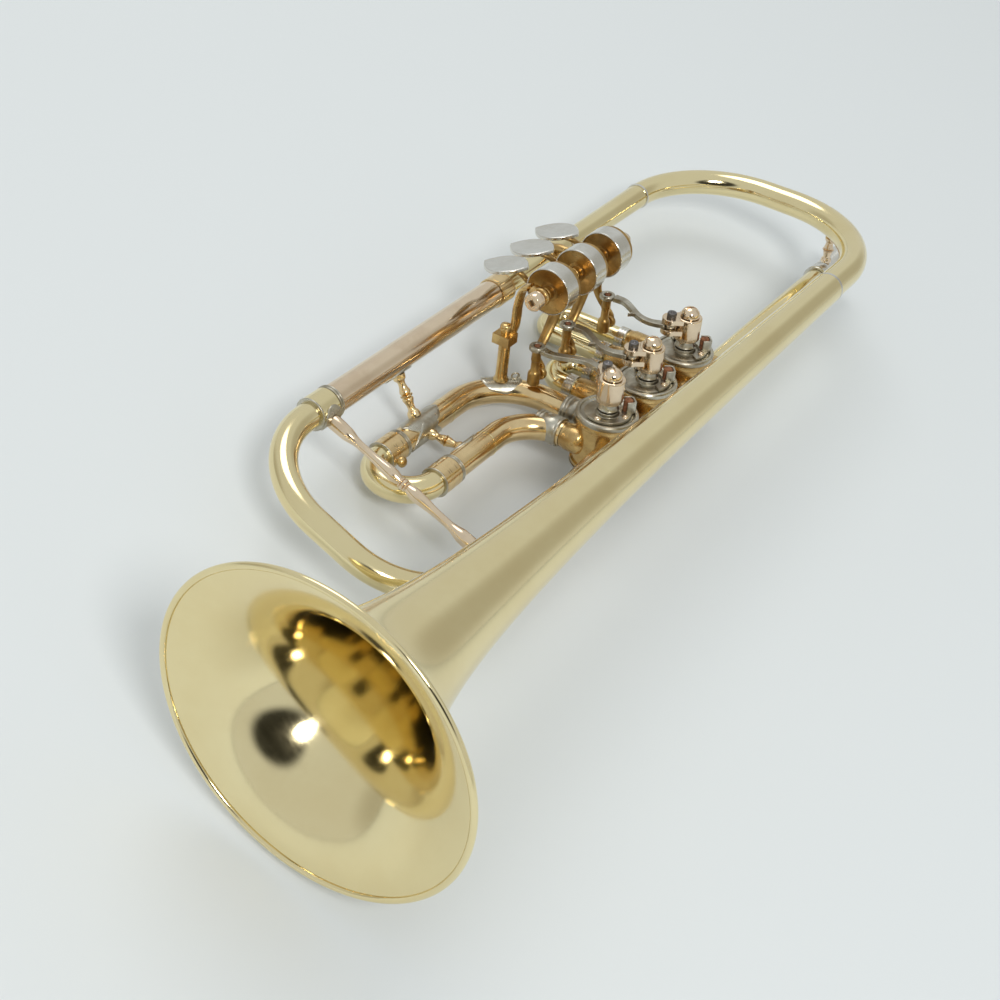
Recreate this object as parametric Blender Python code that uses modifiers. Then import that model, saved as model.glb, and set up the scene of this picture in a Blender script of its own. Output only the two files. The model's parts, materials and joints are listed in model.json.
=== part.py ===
"""Rotary-valve trumpet, modelled as an assembly of separate solids.

The instrument has its own axes: U runs along the bell from its rim to the back bow, V goes
sideways to the long straight tube, W goes up along the valve axes. Lengths are in millimetres
there and one scaled, tilted root empty would bend sizes, so every length is multiplied by MM
once, where a shape is made. The root empty tilts the whole instrument into the pose in which
it lies on a flat surface: on the bell rim, the third valve slide and the first valve's cap.
"""
import math

import bmesh
import bpy
from mathutils import Matrix, Vector

MM = 0.001
GAP = 0.3                 # clearance between pieces that touch or run in each other
WALL = 0.6                # wall of the drawn tubes

# Bell: radius = BELL_RADIUS * (BELL_THROAT / (u + BELL_THROAT)) ** BELL_FLARE
BELL_RADIUS = 65.0
BELL_THROAT = 11.2
BELL_FLARE = 0.6
BELL_LENGTH = 398.0
BELL_BEAD = 1.3           # radius of the rolled rim

# Main tubing
SIDE_V = 117.0            # straight tube on the far side, from the tuning slide to the back bow
BACK_U = 468.0            # centre line of the back bow where it crosses over
BACK_CORNER_FAR = 50.0
BACK_CORNER_BELL = 52.0
BACK_START_RADIUS = 5.3
BACK_END_RADIUS = 7.1
JOINT_U = 290.0           # where the straight tube passes from slide tube to bow

# Valve block
PLANE_W = -28.0           # plane of the ports
ROTOR_V = 35.0
ROTOR_U = {1: 322.0, 2: 287.0, 3: 252.0}
PORT_OFFSET = 9.0         # ports lie this far to the side of the rotor's axis
ROTOR_RADIUS = 9.4
CASING_RADIUS = 13.0
CASING_HEIGHT = 23.0
CAP_RADIUS = 13.9
CAP_THICKNESS = 2.6
CAP_CHAMFER = 1.6
SPINDLE_RADIUS = 2.4
PORT_RADIUS = 4.9
PORT_WEB = 2.0            # metal left between neighbouring ports, to each side of the rotor's axis
KNUCKLE_RADIUS = 5.8
MAIN_V = ROTOR_V - PORT_OFFSET

# Stop work on top of each valve
BARREL_RADIUS = 5.9
BARREL_HEIGHT = 15.3
CRANK_RADIUS = 8.8
CRANK_ANGLE = {1: 135.0, 2: 135.0, 3: 46.0}
CRANK_THICKNESS = 2.5     # each cheek of the crank's fork
CRANK_EYE = 4.3
CRANK_PIN = 1.3
PIN_HEAD = 2.2
CORK_RADIUS = 2.1
SCREW_RADIUS = 4.4
LINK_THICKNESS = 2.4
EYE_RADIUS = 3.7
LINK_WIDTH = 2.6
LINK_BULGE = {1: -5.0, 2: -5.0, 3: 4.0}    # sideways bend of each S-shaped link
LINK_BENDS = ((0.0, 0.0), (0.1, 0.55), (0.25, 1.0), (0.42, 0.9), (0.6, 0.2), (0.75, -0.3), (0.9, -0.2),
              (1.0, 0.0))

# Levers
AXLE_V = 79.5
AXLE_W = 22.0
AXLE_RADIUS = 2.0
AXLE_FRONT_U = 253.0
AXLE_REAR_U = 334.0
SADDLE_TURN = math.radians(40.0)   # the rear bracket's foot sits this far round the side tube
HUB_U = {1: 309.0, 2: 287.5, 3: 266.0}   # front of each lever's place on the axle
DRUM_START = {1: 2.8, 2: 2.3, 3: 0.0}    # front face of its spring drum, behind that
HUB_RADIUS = 9.9
HUB_BACK = 2.4            # back plate of the drum, which carries the touch's arm
HUB_LENGTH = 15.0         # hub with its sleeve
HUB_SLEEVE = 3.2
BAND_RADIUS = 11.0        # nickel wall of the drum
BAND_LENGTH = 8.8
TOUCH_LENGTH = 23.5
TOUCH_WIDTH = 19.0
TOUCH_REACH = 26.3        # axle to the middle of the touch plate
TOUCH_RISE = 1.2          # touch plate above the axle
TOUCH_SET = 6.5           # middle of the touch plate behind the front of the lever's place
TOUCH_TILT = 13.0
TOUCH_THICKNESS = 1.8
LEVER_ARM_BOW = {1: 6.0, 2: 1.0, 3: 1.0}    # bend of the lower arm away from the link
POST_U = {1: 318.5, 2: 283.1, 3: 257.3}
POST_V = 76.4
POST_RADIUS = 2.4
POST_FOOT = 3.0           # radius of the post's foot and of the lever's end beside it
ARM_RADIUS = 1.6
POST_BOTTOM_W = -17.0

# Tuning slide at the front
SLIDE_U = 147.0           # where the bow meets its legs
SLIDE_RADIUS = 5.9
SLIDE_REACH = 40.5        # from there to the middle of the bow's crosswise run
SLIDE_CORNER = 38.0
SLIDE_V = 28.5            # the slide's other leg
SLIDE_W = -34.5
OUTER_RADIUS = 6.5
OUTER_START_U = 159.0
INNER_RADIUS = 5.4
INNER_END_U = 208.0
FERRULE_RADIUS = 7.3

# Third, second and first valve slides
THIRD_V = {"left": 100.0, "right": 72.0}
THIRD_STUB = 1.5          # third casing's stubs stand this far clear of its body
THIRD_BOW_U = 175.0
THIRD_OUTER_U = 187.0
THIRD_BEND = {"left": 29.0, "right": 22.0}
THIRD_INNER_U = {"left": 222.0, "right": 217.0}
SHORT_OUTER_V = {1: 68.0, 2: 64.5}
SHORT_BOW_V = {1: 98.0, 2: 72.0}
SHORT_INNER_V = {1: 52.0, 2: 52.0}

# Mouthpipe
RECEIVER_U = 452.0
RECEIVER_LENGTH = 34.0
RECEIVER_RADIUS = 7.0
SOCKET_RADIUS = 5.1
LEADPIPE_RADIUS = 5.6

BRASS = (0.60, 0.47, 0.22, 1.0)
OLD_BRASS = (0.46, 0.31, 0.11, 1.0)
ROSE_BRASS = (0.63, 0.40, 0.24, 1.0)
NICKEL = (0.62, 0.62, 0.58, 1.0)
CORK = (0.28, 0.12, 0.06, 1.0)

U, V, W = Vector((1, 0, 0)), Vector((0, 1, 0)), Vector((0, 0, 1))


def clear_scene():
    """Remove whatever the file starts with."""
    for obj in list(bpy.data.objects):
        bpy.data.objects.remove(obj, do_unlink=True)


def make_collection(name):
    """Return a new collection linked to the scene."""
    collection = bpy.data.collections.new(name)
    bpy.context.scene.collection.children.link(collection)
    return collection


def make_material(name, colour, roughness, metallic=1.0):
    """Return a plain Principled BSDF material."""
    material = bpy.data.materials.new(name)
    material.use_nodes = True
    shader = material.node_tree.nodes["Principled BSDF"]
    shader.inputs["Base Color"].default_value = colour
    shader.inputs["Roughness"].default_value = roughness
    shader.inputs["Metallic"].default_value = metallic
    return material


clear_scene()
PARTS = make_collection("rotary_trumpet")
CUTTERS = make_collection("cutters")
FINISH = {
    "brass": make_material("polished_brass", BRASS, 0.08),
    "old_brass": make_material("aged_brass", OLD_BRASS, 0.22),
    "rose": make_material("rose_brass", ROSE_BRASS, 0.12),
    "nickel": make_material("nickel_silver", NICKEL, 0.18),
    "cork": make_material("bumper_cork", CORK, 0.9, 0.0),
}
ROOT = bpy.data.objects.new("instrument", None)
PARTS.objects.link(ROOT)


def point(u, v, w):
    """A place in the instrument's axes, in metres."""
    return Vector((u, v, w)) * MM


def place(obj, finish, parent=None, cutter=False):
    """Link an object, dress it and hang it on its parent."""
    (CUTTERS if cutter else PARTS).objects.link(obj)
    obj.parent = parent or ROOT
    if finish:
        obj.data.materials.append(FINISH[finish])
    if cutter:
        obj.hide_render = True
        obj.display_type = 'WIRE'
    return obj


def axle_empty(name, place_at):
    """An empty on a joint's axis, which carries the pieces that move about it."""
    empty = bpy.data.objects.new(name, None)
    PARTS.objects.link(empty)
    empty.parent = ROOT
    empty.location = place_at
    return empty


def lathe(name, outline, finish, origin, axis=W, parent=None, steps=16, ring=False, cutter=False):
    """Turn an outline of (radius, height) in mm about an axis through origin.

    The outline runs down the outer side. A ring outline closes on itself.
    """
    mesh = bpy.data.meshes.new(name)
    corners = [(radius * MM, 0.0, height * MM) for radius, height in outline]
    edges = [(i, i + 1) for i in range(len(corners) - 1)]
    if ring:
        edges.append((len(corners) - 1, 0))
    mesh.from_pydata(corners, edges, [])
    obj = bpy.data.objects.new(name, mesh)
    obj.location = origin
    obj.rotation_mode = 'QUATERNION'
    obj.rotation_quaternion = axis.to_track_quat('Z', 'Y')
    screw = obj.modifiers.new("turned", 'SCREW')
    screw.angle = math.tau
    screw.steps = screw.render_steps = steps
    screw.use_merge_vertices = True
    screw.merge_threshold = 1e-6
    screw.use_smooth_shade = True
    return place(obj, finish, parent, cutter)


def rod(name, radius, low, high, finish, origin, axis=W, parent=None, steps=12, cutter=False):
    """A plain round bar from height low to height high."""
    outline = [(0.0, high), (radius, high), (radius, low), (0.0, low)]
    return lathe(name, outline, finish, origin, axis, parent, steps, cutter=cutter)


def sleeve(name, inner, outer, low, high, finish, origin, axis=W, parent=None, steps=16, bead=0.0):
    """A round sleeve; a bead is a raised band at its upper end."""
    outline = [(outer, high), (outer, low), (inner, low), (inner, high)]
    if bead:
        outline[:1] = [(outer, high), (outer + bead, high - 0.3 * bead), (outer + bead, high - 1.6),
                       (outer, high - 1.6 - 0.3 * bead)]
    return lathe(name, outline, finish, origin, axis, parent, steps, ring=True)


def arc(centre, start, end, radius, steps):
    """Points on a quarter circle that leaves centre + radius * start towards end."""
    turns = [math.pi / 2 * i / steps for i in range(steps + 1)]
    return [centre + (start * math.cos(t) + end * math.sin(t)) * radius for t in turns]


def tube(name, path, radii, finish, wall=WALL, parent=None, resolution=3, cutter=False):
    """Sweep a round tube along a path in mm; a wall of 0 makes a solid bar."""
    curve = bpy.data.curves.new(name, 'CURVE')
    curve.dimensions = '3D'
    curve.twist_mode = 'MINIMUM'
    curve.bevel_depth = MM
    curve.bevel_resolution = resolution
    curve.render_resolution_u = 0
    curve.use_fill_caps = wall == 0
    spline = curve.splines.new('POLY')
    spline.points.add(len(path) - 1)
    for control, place_at, radius in zip(spline.points, path, radii):
        control.co = (*(place_at * MM), 1.0)
        control.radius = radius
    spline.use_smooth = True
    obj = bpy.data.objects.new(name, curve)
    if wall:
        shell = obj.modifiers.new("wall", 'SOLIDIFY')
        shell.thickness = wall * MM
        shell.offset = -1.0
    return place(obj, finish, parent, cutter)


def outline_plate(name, corners, thickness, finish, matrix, parent=None):
    """A flat plate: an outline in mm, extruded to both sides of its own plane."""
    curve = bpy.data.curves.new(name, 'CURVE')
    curve.dimensions = '2D'
    curve.fill_mode = 'BOTH'
    curve.extrude = thickness / 2 * MM
    spline = curve.splines.new('POLY')
    spline.points.add(len(corners) - 1)
    for control, (x, y) in zip(spline.points, corners):
        control.co = (x * MM, y * MM, 0.0, 1.0)
    spline.use_cyclic_u = True
    obj = bpy.data.objects.new(name, curve)
    place(obj, finish, parent)
    obj.matrix_local = matrix
    return obj


def to_mesh(obj):
    """Replace a curve object by the mesh it evaluates to, with its caps welded."""
    bpy.context.view_layer.update()
    depsgraph = bpy.context.evaluated_depsgraph_get()
    mesh = bpy.data.meshes.new_from_object(obj.evaluated_get(depsgraph))
    builder = bmesh.new()
    builder.from_mesh(mesh)
    bmesh.ops.remove_doubles(builder, verts=builder.verts, dist=1e-6)
    bmesh.ops.recalc_face_normals(builder, faces=builder.faces)
    builder.to_mesh(mesh)
    builder.free()
    name, parent, matrix = obj.name, obj.parent, obj.matrix_local.copy()
    collections = list(obj.users_collection)
    hidden = obj.hide_render
    bpy.data.objects.remove(obj, do_unlink=True)
    solid = bpy.data.objects.new(name, mesh)
    for collection in collections:
        collection.objects.link(solid)
    solid.parent = parent
    solid.matrix_local = matrix
    solid.hide_render = hidden
    if hidden:
        solid.display_type = 'WIRE'
    return solid


def combine(obj, tools, operation):
    """Join or cut an object with each tool in turn."""
    for tool in tools:
        step = obj.modifiers.new(tool.name, 'BOOLEAN')
        step.operation = operation
        step.object = tool


def bell_radius(u):
    """Outer radius of the bell at u."""
    return BELL_RADIUS * (BELL_THROAT / (u + BELL_THROAT)) ** BELL_FLARE


def bell_normal(u):
    """Unit normal (along u, outwards) of the bell's outer surface."""
    slope = -BELL_FLARE * bell_radius(u) / (u + BELL_THROAT)
    length = math.hypot(slope, 1.0)
    return -slope / length, 1.0 / length


def build_bell(stations=12, steps=28):
    """The bell: one spun wall from the rolled rim to the tail."""
    ratio = ((BELL_LENGTH + BELL_THROAT) / BELL_THROAT) ** (1 / stations)
    places = [BELL_THROAT * (ratio ** i - 1) for i in range(stations, 0, -1)]
    outer = [(bell_radius(u), u) for u in places]
    inner = []
    for u in reversed(places):
        along, out = bell_normal(u)
        inner.append((bell_radius(u) - WALL * out, u - WALL * along))
    centre_u, centre_r = 0.0, BELL_RADIUS - BELL_BEAD
    angles = [math.radians(a) for a in (20, 60, 110, 160, 210, 255)]
    bead = [(centre_r + BELL_BEAD * math.cos(a - math.pi / 3), centre_u - BELL_BEAD * math.sin(a - math.pi / 3))
            for a in angles]
    lathe("bell", outer + bead + inner, "brass", point(0, 0, 0), U, steps=steps, ring=True)


def build_back_bow():
    """The wide bow behind the valves, from the straight tube round to the bell's tail."""
    near = Vector((BACK_U - BACK_CORNER_FAR, SIDE_V - BACK_CORNER_FAR, 0))
    far = Vector((BACK_U - BACK_CORNER_BELL, BACK_CORNER_BELL, 0))
    path = [Vector((JOINT_U + GAP, SIDE_V, 0)), Vector((350, SIDE_V, 0))]
    path += arc(near, V, U, BACK_CORNER_FAR, 6)
    path += arc(far, U, -V, BACK_CORNER_BELL, 6)
    path.append(Vector((BELL_LENGTH + GAP, 0, 0)))
    lengths = [0.0]
    for a, b in zip(path, path[1:]):
        lengths.append(lengths[-1] + (b - a).length)
    widen = (BACK_END_RADIUS - BACK_START_RADIUS) / lengths[-1]
    radii = [BACK_START_RADIUS + widen * length for length in lengths]
    tube("back_bow", path, radii, "brass")


def build_main_tubes():
    """Tuning slide tubes, mouthpipe and receiver."""
    left, right = point(0, SIDE_V, 0), point(0, MAIN_V, PLANE_W)
    inner = OUTER_RADIUS - WALL
    sleeve("tuning_outer_left", inner, OUTER_RADIUS, -JOINT_U + 4.0, -OUTER_START_U, "rose", left, -U, bead=0.9)
    front = ROTOR_U[3] - CASING_RADIUS - 5.0
    low, high = Vector((OUTER_START_U, SLIDE_V, SLIDE_W)), Vector((front - GAP, MAIN_V, PLANE_W))
    bends = [low, Vector((INNER_END_U - 4.0, SLIDE_V, SLIDE_W)), Vector((INNER_END_U + 4.0, *low.lerp(high, 0.25).yz)),
             Vector((front - 8.0, *low.lerp(high, 0.85).yz)), high]
    outer = to_mesh(tube("tuning_outer_right", bends, [OUTER_RADIUS] * len(bends), "rose"))
    bore = rod("tuning_bore_right", inner, -GAP, INNER_END_U - OUTER_START_U + GAP, None, low * MM, U, cutter=True)
    combine(outer, [bore], 'DIFFERENCE')
    sleeve("back_bow_ferrule", OUTER_RADIUS + GAP, OUTER_RADIUS + 1.1, -JOINT_U - 1.0, -JOINT_U + 9.0, "old_brass",
           left, -U)
    pipe_start = ROTOR_U[1] + ROTOR_PITCH / 2
    sleeve("leadpipe", LEADPIPE_RADIUS - WALL, LEADPIPE_RADIUS, pipe_start + GAP, RECEIVER_U - GAP, "brass",
           right, U)
    end = RECEIVER_U + RECEIVER_LENGTH
    outline = [(RECEIVER_RADIUS, end), (RECEIVER_RADIUS, end - 2.5), (RECEIVER_RADIUS - 0.7, end - 3.5),
               (RECEIVER_RADIUS - 0.7, RECEIVER_U + 2.0), (RECEIVER_RADIUS, RECEIVER_U + 1.0),
               (RECEIVER_RADIUS, RECEIVER_U), (LEADPIPE_RADIUS - 1.2, RECEIVER_U),
               (SOCKET_RADIUS - 0.4, RECEIVER_U + 8.0), (SOCKET_RADIUS, end)]
    lathe("mouthpiece_receiver", outline, "nickel", right, U, ring=True)


def build_tuning_slide():
    """The bow at the front and what is soldered to it: legs, ferrules and the long brace."""
    left, right = Vector((SLIDE_U, SIDE_V, 0)), Vector((SLIDE_U, SLIDE_V, SLIDE_W))
    across = (left - right).normalized()
    width = (left - right).length
    inward, ahead = across * SLIDE_CORNER, U * (SLIDE_CORNER - SLIDE_REACH)
    bow = arc(left - inward + ahead, across, -U, SLIDE_CORNER, 6)
    bow += arc(right + inward + ahead, -U, -across, SLIDE_CORNER, 6)
    step = Vector((4.0, 0, 0))
    reach = Vector((INNER_END_U - SLIDE_U, 0, 0))
    path = [left + reach, left + step] + bow + [right + step, right + reach]
    radii = [INNER_RADIUS] * 2 + [SLIDE_RADIUS] * len(bow) + [INNER_RADIUS] * 2
    tube("tuning_bow", path, radii, "brass")
    for side, at in (("left", left), ("right", right)):
        sleeve("tuning_ferrule_" + side, SLIDE_RADIUS + GAP, FERRULE_RADIUS, 1.0, OUTER_START_U - SLIDE_U - GAP,
               "brass", at * MM, U)
    brace_u = (SLIDE_U + OUTER_START_U) / 2
    start = Vector((brace_u, SIDE_V, 0)) - across * (FERRULE_RADIUS + GAP)
    length = width - 2 * (FERRULE_RADIUS + GAP)
    baluster("tuning_brace", start, -across, length, 3.5, "rose", flange=5.4)


def baluster(name, start, direction, length, radius, finish, flange=0.0, waist=0.45):
    """A turned brace: stout ends, slim waists, swelling to a bead in the middle.

    The ends are cut short by the sagitta of the tube that they sit on.
    """
    profile = [(0.0, 0.0), (1.0, 0.0), (1.0, 0.10), (waist, 0.17), (0.62, 0.3), (0.95, 0.43), (0.55, 0.47),
               (1.1, 0.485), (1.1, 0.5)]
    half = [(radius * r, length * t) for r, t in profile]
    if flange:
        half[1:2] = [(flange, 0.0), (flange, 0.8), (radius, 1.2)]
    other = [(r, length - t) for r, t in reversed(half[:-1])]
    outline = [(r, t) for r, t in reversed(half + other)]
    return lathe(name, outline, finish, start * MM, direction, steps=10)


def valve_origin(number):
    """The middle of a valve's rotor, in metres."""
    return point(ROTOR_U[number], ROTOR_V, PLANE_W)


ROTOR_PITCH = ROTOR_U[1] - ROTOR_U[2]
TOP_W = CASING_HEIGHT / 2
BARREL_LOW = TOP_W + GAP + CAP_THICKNESS + 1.6
BARREL_TOP = BARREL_LOW + BARREL_HEIGHT
LINK_TOP = BARREL_TOP - 0.2 - CRANK_THICKNESS - GAP
LINK_LOW = LINK_TOP - LINK_THICKNESS


def casing_ports(number):
    """Start, end and open end of each knuckle on a casing, from the rotor's axis, in mm."""
    front = -(CASING_RADIUS + 5.0) if number == 3 else -ROTOR_PITCH / 2 + GAP / 2
    rear = ROTOR_PITCH / 2 - GAP / 2
    reach = SHORT_OUTER_V[number] - ROTOR_V if number < 3 else CASING_RADIUS + THIRD_STUB
    main = (0.0, -PORT_OFFSET)
    return {"front": (main, (front, -PORT_OFFSET)), "rear": (main, (rear, -PORT_OFFSET)),
            "slide_front": ((-PORT_OFFSET, 0.0), (-PORT_OFFSET, reach)),
            "slide_rear": ((PORT_OFFSET, 0.0), (PORT_OFFSET, reach))}


def build_valve(number):
    """Casing, rotor, caps, stop arm and bumper of one valve."""
    tag = "_%d" % number
    origin = valve_origin(number)
    body = rod("valve_casing" + tag, CASING_RADIUS, -TOP_W, TOP_W, "old_brass", origin, steps=20)
    ports = casing_ports(number)
    joined, bores = [], []
    for name, (a, b) in ports.items():
        start, end = Vector((*a, 0)), Vector((*b, 0))
        direction = (end - start).normalized()
        length = (end - start).length
        place_at = origin + start * MM
        if name != "rear":
            back = ROTOR_PITCH / 2 - GAP / 2 if name == "front" else 0.0
            joined.append(rod("knuckle_%s%s" % (name, tag), KNUCKLE_RADIUS, -back, length, None, place_at, direction,
                              cutter=True))
        bores.append(rod("port_%s%s" % (name, tag), PORT_RADIUS + GAP, PORT_WEB, length + PORT_WEB, None, place_at,
                         direction, cutter=True))
    rotor_bore = rod("rotor_bore" + tag, ROTOR_RADIUS + GAP, -TOP_W - 1, TOP_W + 1, None, origin, steps=20, cutter=True)
    combine(body, [rotor_bore] + bores, 'DIFFERENCE')

    low = -TOP_W - GAP
    lathe("valve_bottom_cap" + tag,
          [(0.0, low), (CAP_RADIUS, low), (CAP_RADIUS, low - 1.2), (CAP_RADIUS - CAP_CHAMFER, low - CAP_THICKNESS),
           (0.0, low - CAP_THICKNESS)], "nickel", origin, steps=20)
    build_rotor(number, tag)
    build_cap(number, tag)
    build_stop_arm(number, tag)


def build_rotor(number, tag):
    """A rotor with a scooped passage on each side, and its spindle."""
    origin = valve_origin(number)
    carrier = axle_empty("rotor_axis" + tag, origin)
    top, low = BARREL_LOW + 4.0, -TOP_W + GAP
    high = TOP_W - GAP
    outline = [(0.0, top), (SPINDLE_RADIUS, top), (SPINDLE_RADIUS, high), (ROTOR_RADIUS, high), (ROTOR_RADIUS, low),
               (0.0, low)]
    body = lathe("rotor" + tag, outline, "old_brass", Vector((0, 0, 0)), parent=carrier, steps=20)
    scoops = []
    for side in (-1, 1):
        name = "passage%s_%s" % (tag, "near" if side < 0 else "far")
        scoop = rod(name, PORT_RADIUS, -CASING_RADIUS, CASING_RADIUS, None, point(0, side * PORT_OFFSET, 0), U,
                    parent=carrier, cutter=True)
        scoops.append(scoop)
    combine(body, scoops, 'DIFFERENCE')


def build_cap(number, tag):
    """Bearing plate with a raised rim, and the cork bumper beside the stop arm."""
    origin = valve_origin(number)
    low = TOP_W + GAP
    top = low + CAP_THICKNESS
    bore = SPINDLE_RADIUS + GAP
    outline = [(CAP_RADIUS - 1.8, top), (CAP_RADIUS - 0.6, top - 0.2), (CAP_RADIUS, top - 1.0), (CAP_RADIUS, low),
               (bore, low), (bore, top - 0.6), (CAP_RADIUS - 2.4, top - 0.6)]
    lathe("valve_cap" + tag, outline, "nickel", origin, ring=True, steps=20)
    turn = math.radians(CRANK_ANGLE[number] - 90.0)
    at = Vector((math.cos(turn), math.sin(turn), 0)) * (BARREL_RADIUS + GAP + CORK_RADIUS + 0.5) * MM
    rod("cork_bumper" + tag, CORK_RADIUS, top - 0.6 + GAP, top + 5.0, "cork", origin + at)


def build_stop_arm(number, tag):
    """The barrel clamped on the spindle, its crank and its domed screw."""
    carrier = bpy.data.objects["rotor_axis" + tag]
    bore = SPINDLE_RADIUS + GAP
    low, top = BARREL_LOW, BARREL_TOP
    outline = [(BARREL_RADIUS, top), (BARREL_RADIUS, low + 1.0), (BARREL_RADIUS - 0.8, low), (bore, low),
               (bore, low + 4.0 + GAP), (0.0, low + 4.0 + GAP)]
    barrel = lathe("stop_arm" + tag, [(0.0, top)] + outline, "rose", Vector((0, 0, 0)), parent=carrier, steps=18)
    turn = math.radians(CRANK_ANGLE[number])
    tip = Vector((math.cos(turn), math.sin(turn), 0))
    under = LINK_LOW - GAP
    fork = [("cheek_high", CRANK_EYE, LINK_TOP + GAP, top - 0.2), ("cheek_low", CRANK_EYE, under - CRANK_THICKNESS, under),
            ("crank_pin", CRANK_PIN, under - 1.0, top - 0.9), ("pin_head", PIN_HEAD, top - 1.3, top + 2.4)]
    tools = [rod(name + tag, radius, start, end, None, tip * CRANK_RADIUS * MM, parent=carrier, cutter=True)
             for name, radius, start, end in fork]
    combine(barrel, tools, 'UNION')
    dome = [(0.0, 4.4), (2.2, 3.9), (3.7, 2.2), (SCREW_RADIUS, 0.8), (SCREW_RADIUS, 0.0), (0.0, 0.0)]
    screw = lathe("stop_screw" + tag, dome, "rose", point(0, 0, top + GAP), parent=carrier)
    slot = box("screw_slot" + tag, (14.0, 1.0, 1.6), point(0, 0, top + GAP + 4.4), carrier)
    combine(screw, [slot], 'DIFFERENCE')


def box(name, size, centre, parent=None):
    """A box to cut with, its sides along the instrument's axes."""
    mesh = bpy.data.meshes.new(name)
    builder = bmesh.new()
    bmesh.ops.create_cube(builder, size=1.0)
    bmesh.ops.scale(builder, vec=Vector(size) * MM, verts=builder.verts)
    builder.to_mesh(mesh)
    builder.free()
    obj = bpy.data.objects.new(name, mesh)
    obj.location = centre
    return place(obj, None, parent, cutter=True)


def build_lever(number):
    """One key: spring barrel on the axle, an arm to the touch and an arm to the link's post."""
    tag = "_%d" % number
    hub_u = HUB_U[number]
    carrier = axle_empty("lever_axis" + tag, point(hub_u, AXLE_V, AXLE_W))
    bore = AXLE_RADIUS + GAP
    drum = DRUM_START[number]
    back = drum + BAND_LENGTH + GAP + HUB_BACK
    outline = [(HUB_SLEEVE, HUB_LENGTH), (HUB_SLEEVE, back), (HUB_RADIUS - 0.6, back), (HUB_RADIUS, back - 0.6),
               (HUB_RADIUS, drum), (bore, drum), (bore, HUB_LENGTH)]
    hub = lathe("lever" + tag, outline, "old_brass", Vector((0, 0, 0)), U, parent=carrier, ring=True, steps=18)
    tilt = math.radians(TOUCH_TILT)
    touch = Vector((TOUCH_SET, TOUCH_REACH, TOUCH_RISE))
    slope = Vector((0, math.cos(tilt), -math.sin(tilt)))
    under = slope.cross(U) * (TOUCH_THICKNESS / 2 + ARM_RADIUS + GAP)
    behind = drum + BAND_LENGTH + 2 * GAP + ARM_RADIUS
    reach = [Vector((behind, HUB_RADIUS - 3.0, -2.0)), Vector((behind, BAND_RADIUS + 1.5, -4.0)),
             Vector((behind - 1.5, BAND_RADIUS + 4.5, -4.2)),
             touch - slope * 6.0 + under + U * ARM_RADIUS, touch + slope * 4.0 + under]
    arm = to_mesh(tube("touch_arm" + tag, reach, [ARM_RADIUS] * len(reach), None, 0, carrier, 1, cutter=True))
    post = Vector((POST_U[number] - hub_u, POST_V - AXLE_V, POST_BOTTOM_W - AXLE_W))
    beside = post + U * (POST_FOOT + 2.8)
    bow = LEVER_ARM_BOW[number]
    drop = [Vector((behind, 0.0, -HUB_RADIUS + 2.0)), Vector((behind, bow * 0.8, -HUB_RADIUS - 5.0)),
            Vector(((behind + beside.x) / 2 + 1.0, bow, (beside.z - HUB_RADIUS) / 2)),
            Vector((beside.x + 0.6, bow * 0.4, beside.z + 8.0)), beside + Vector((1.2, 0.5, 2.5)), beside]
    radii = [ARM_RADIUS, ARM_RADIUS, 1.7, 1.8, 1.8, ARM_RADIUS]
    lower = to_mesh(tube("lower_arm" + tag, drop, radii, None, 0, carrier, 1, cutter=True))
    pad = rod("arm_end" + tag, POST_FOOT, -1.4, 1.0, None, beside * MM, U, carrier, cutter=True)
    combine(hub, [arm, lower, pad], 'UNION')

    sleeve("drum_band" + tag, HUB_RADIUS + GAP, BAND_RADIUS, drum, drum + BAND_LENGTH, "nickel", Vector((0, 0, 0)),
           U, carrier, steps=18)
    build_touch(tag, carrier, touch, slope)
    build_post_and_link(number, tag)


def build_touch(tag, carrier, centre, slope):
    """A pointed-oval touch plate: two arcs that meet in points."""
    half, width = TOUCH_LENGTH / 2, TOUCH_WIDTH / 2
    bend = (half ** 2 + width ** 2) / (2 * width)
    sweep = math.asin(half / bend)
    turns = [sweep * (1 - 2 * i / 8) for i in range(8)]
    one = [(bend * math.sin(t), bend * math.cos(t) - bend + width) for t in turns]
    corners = one + [(-x, -y) for x, y in one]
    matrix = Matrix((slope, U, slope.cross(U))).transposed().to_4x4()
    matrix.translation = centre * MM
    outline_plate("touch" + tag, corners, TOUCH_THICKNESS, "nickel", matrix, carrier)


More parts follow.
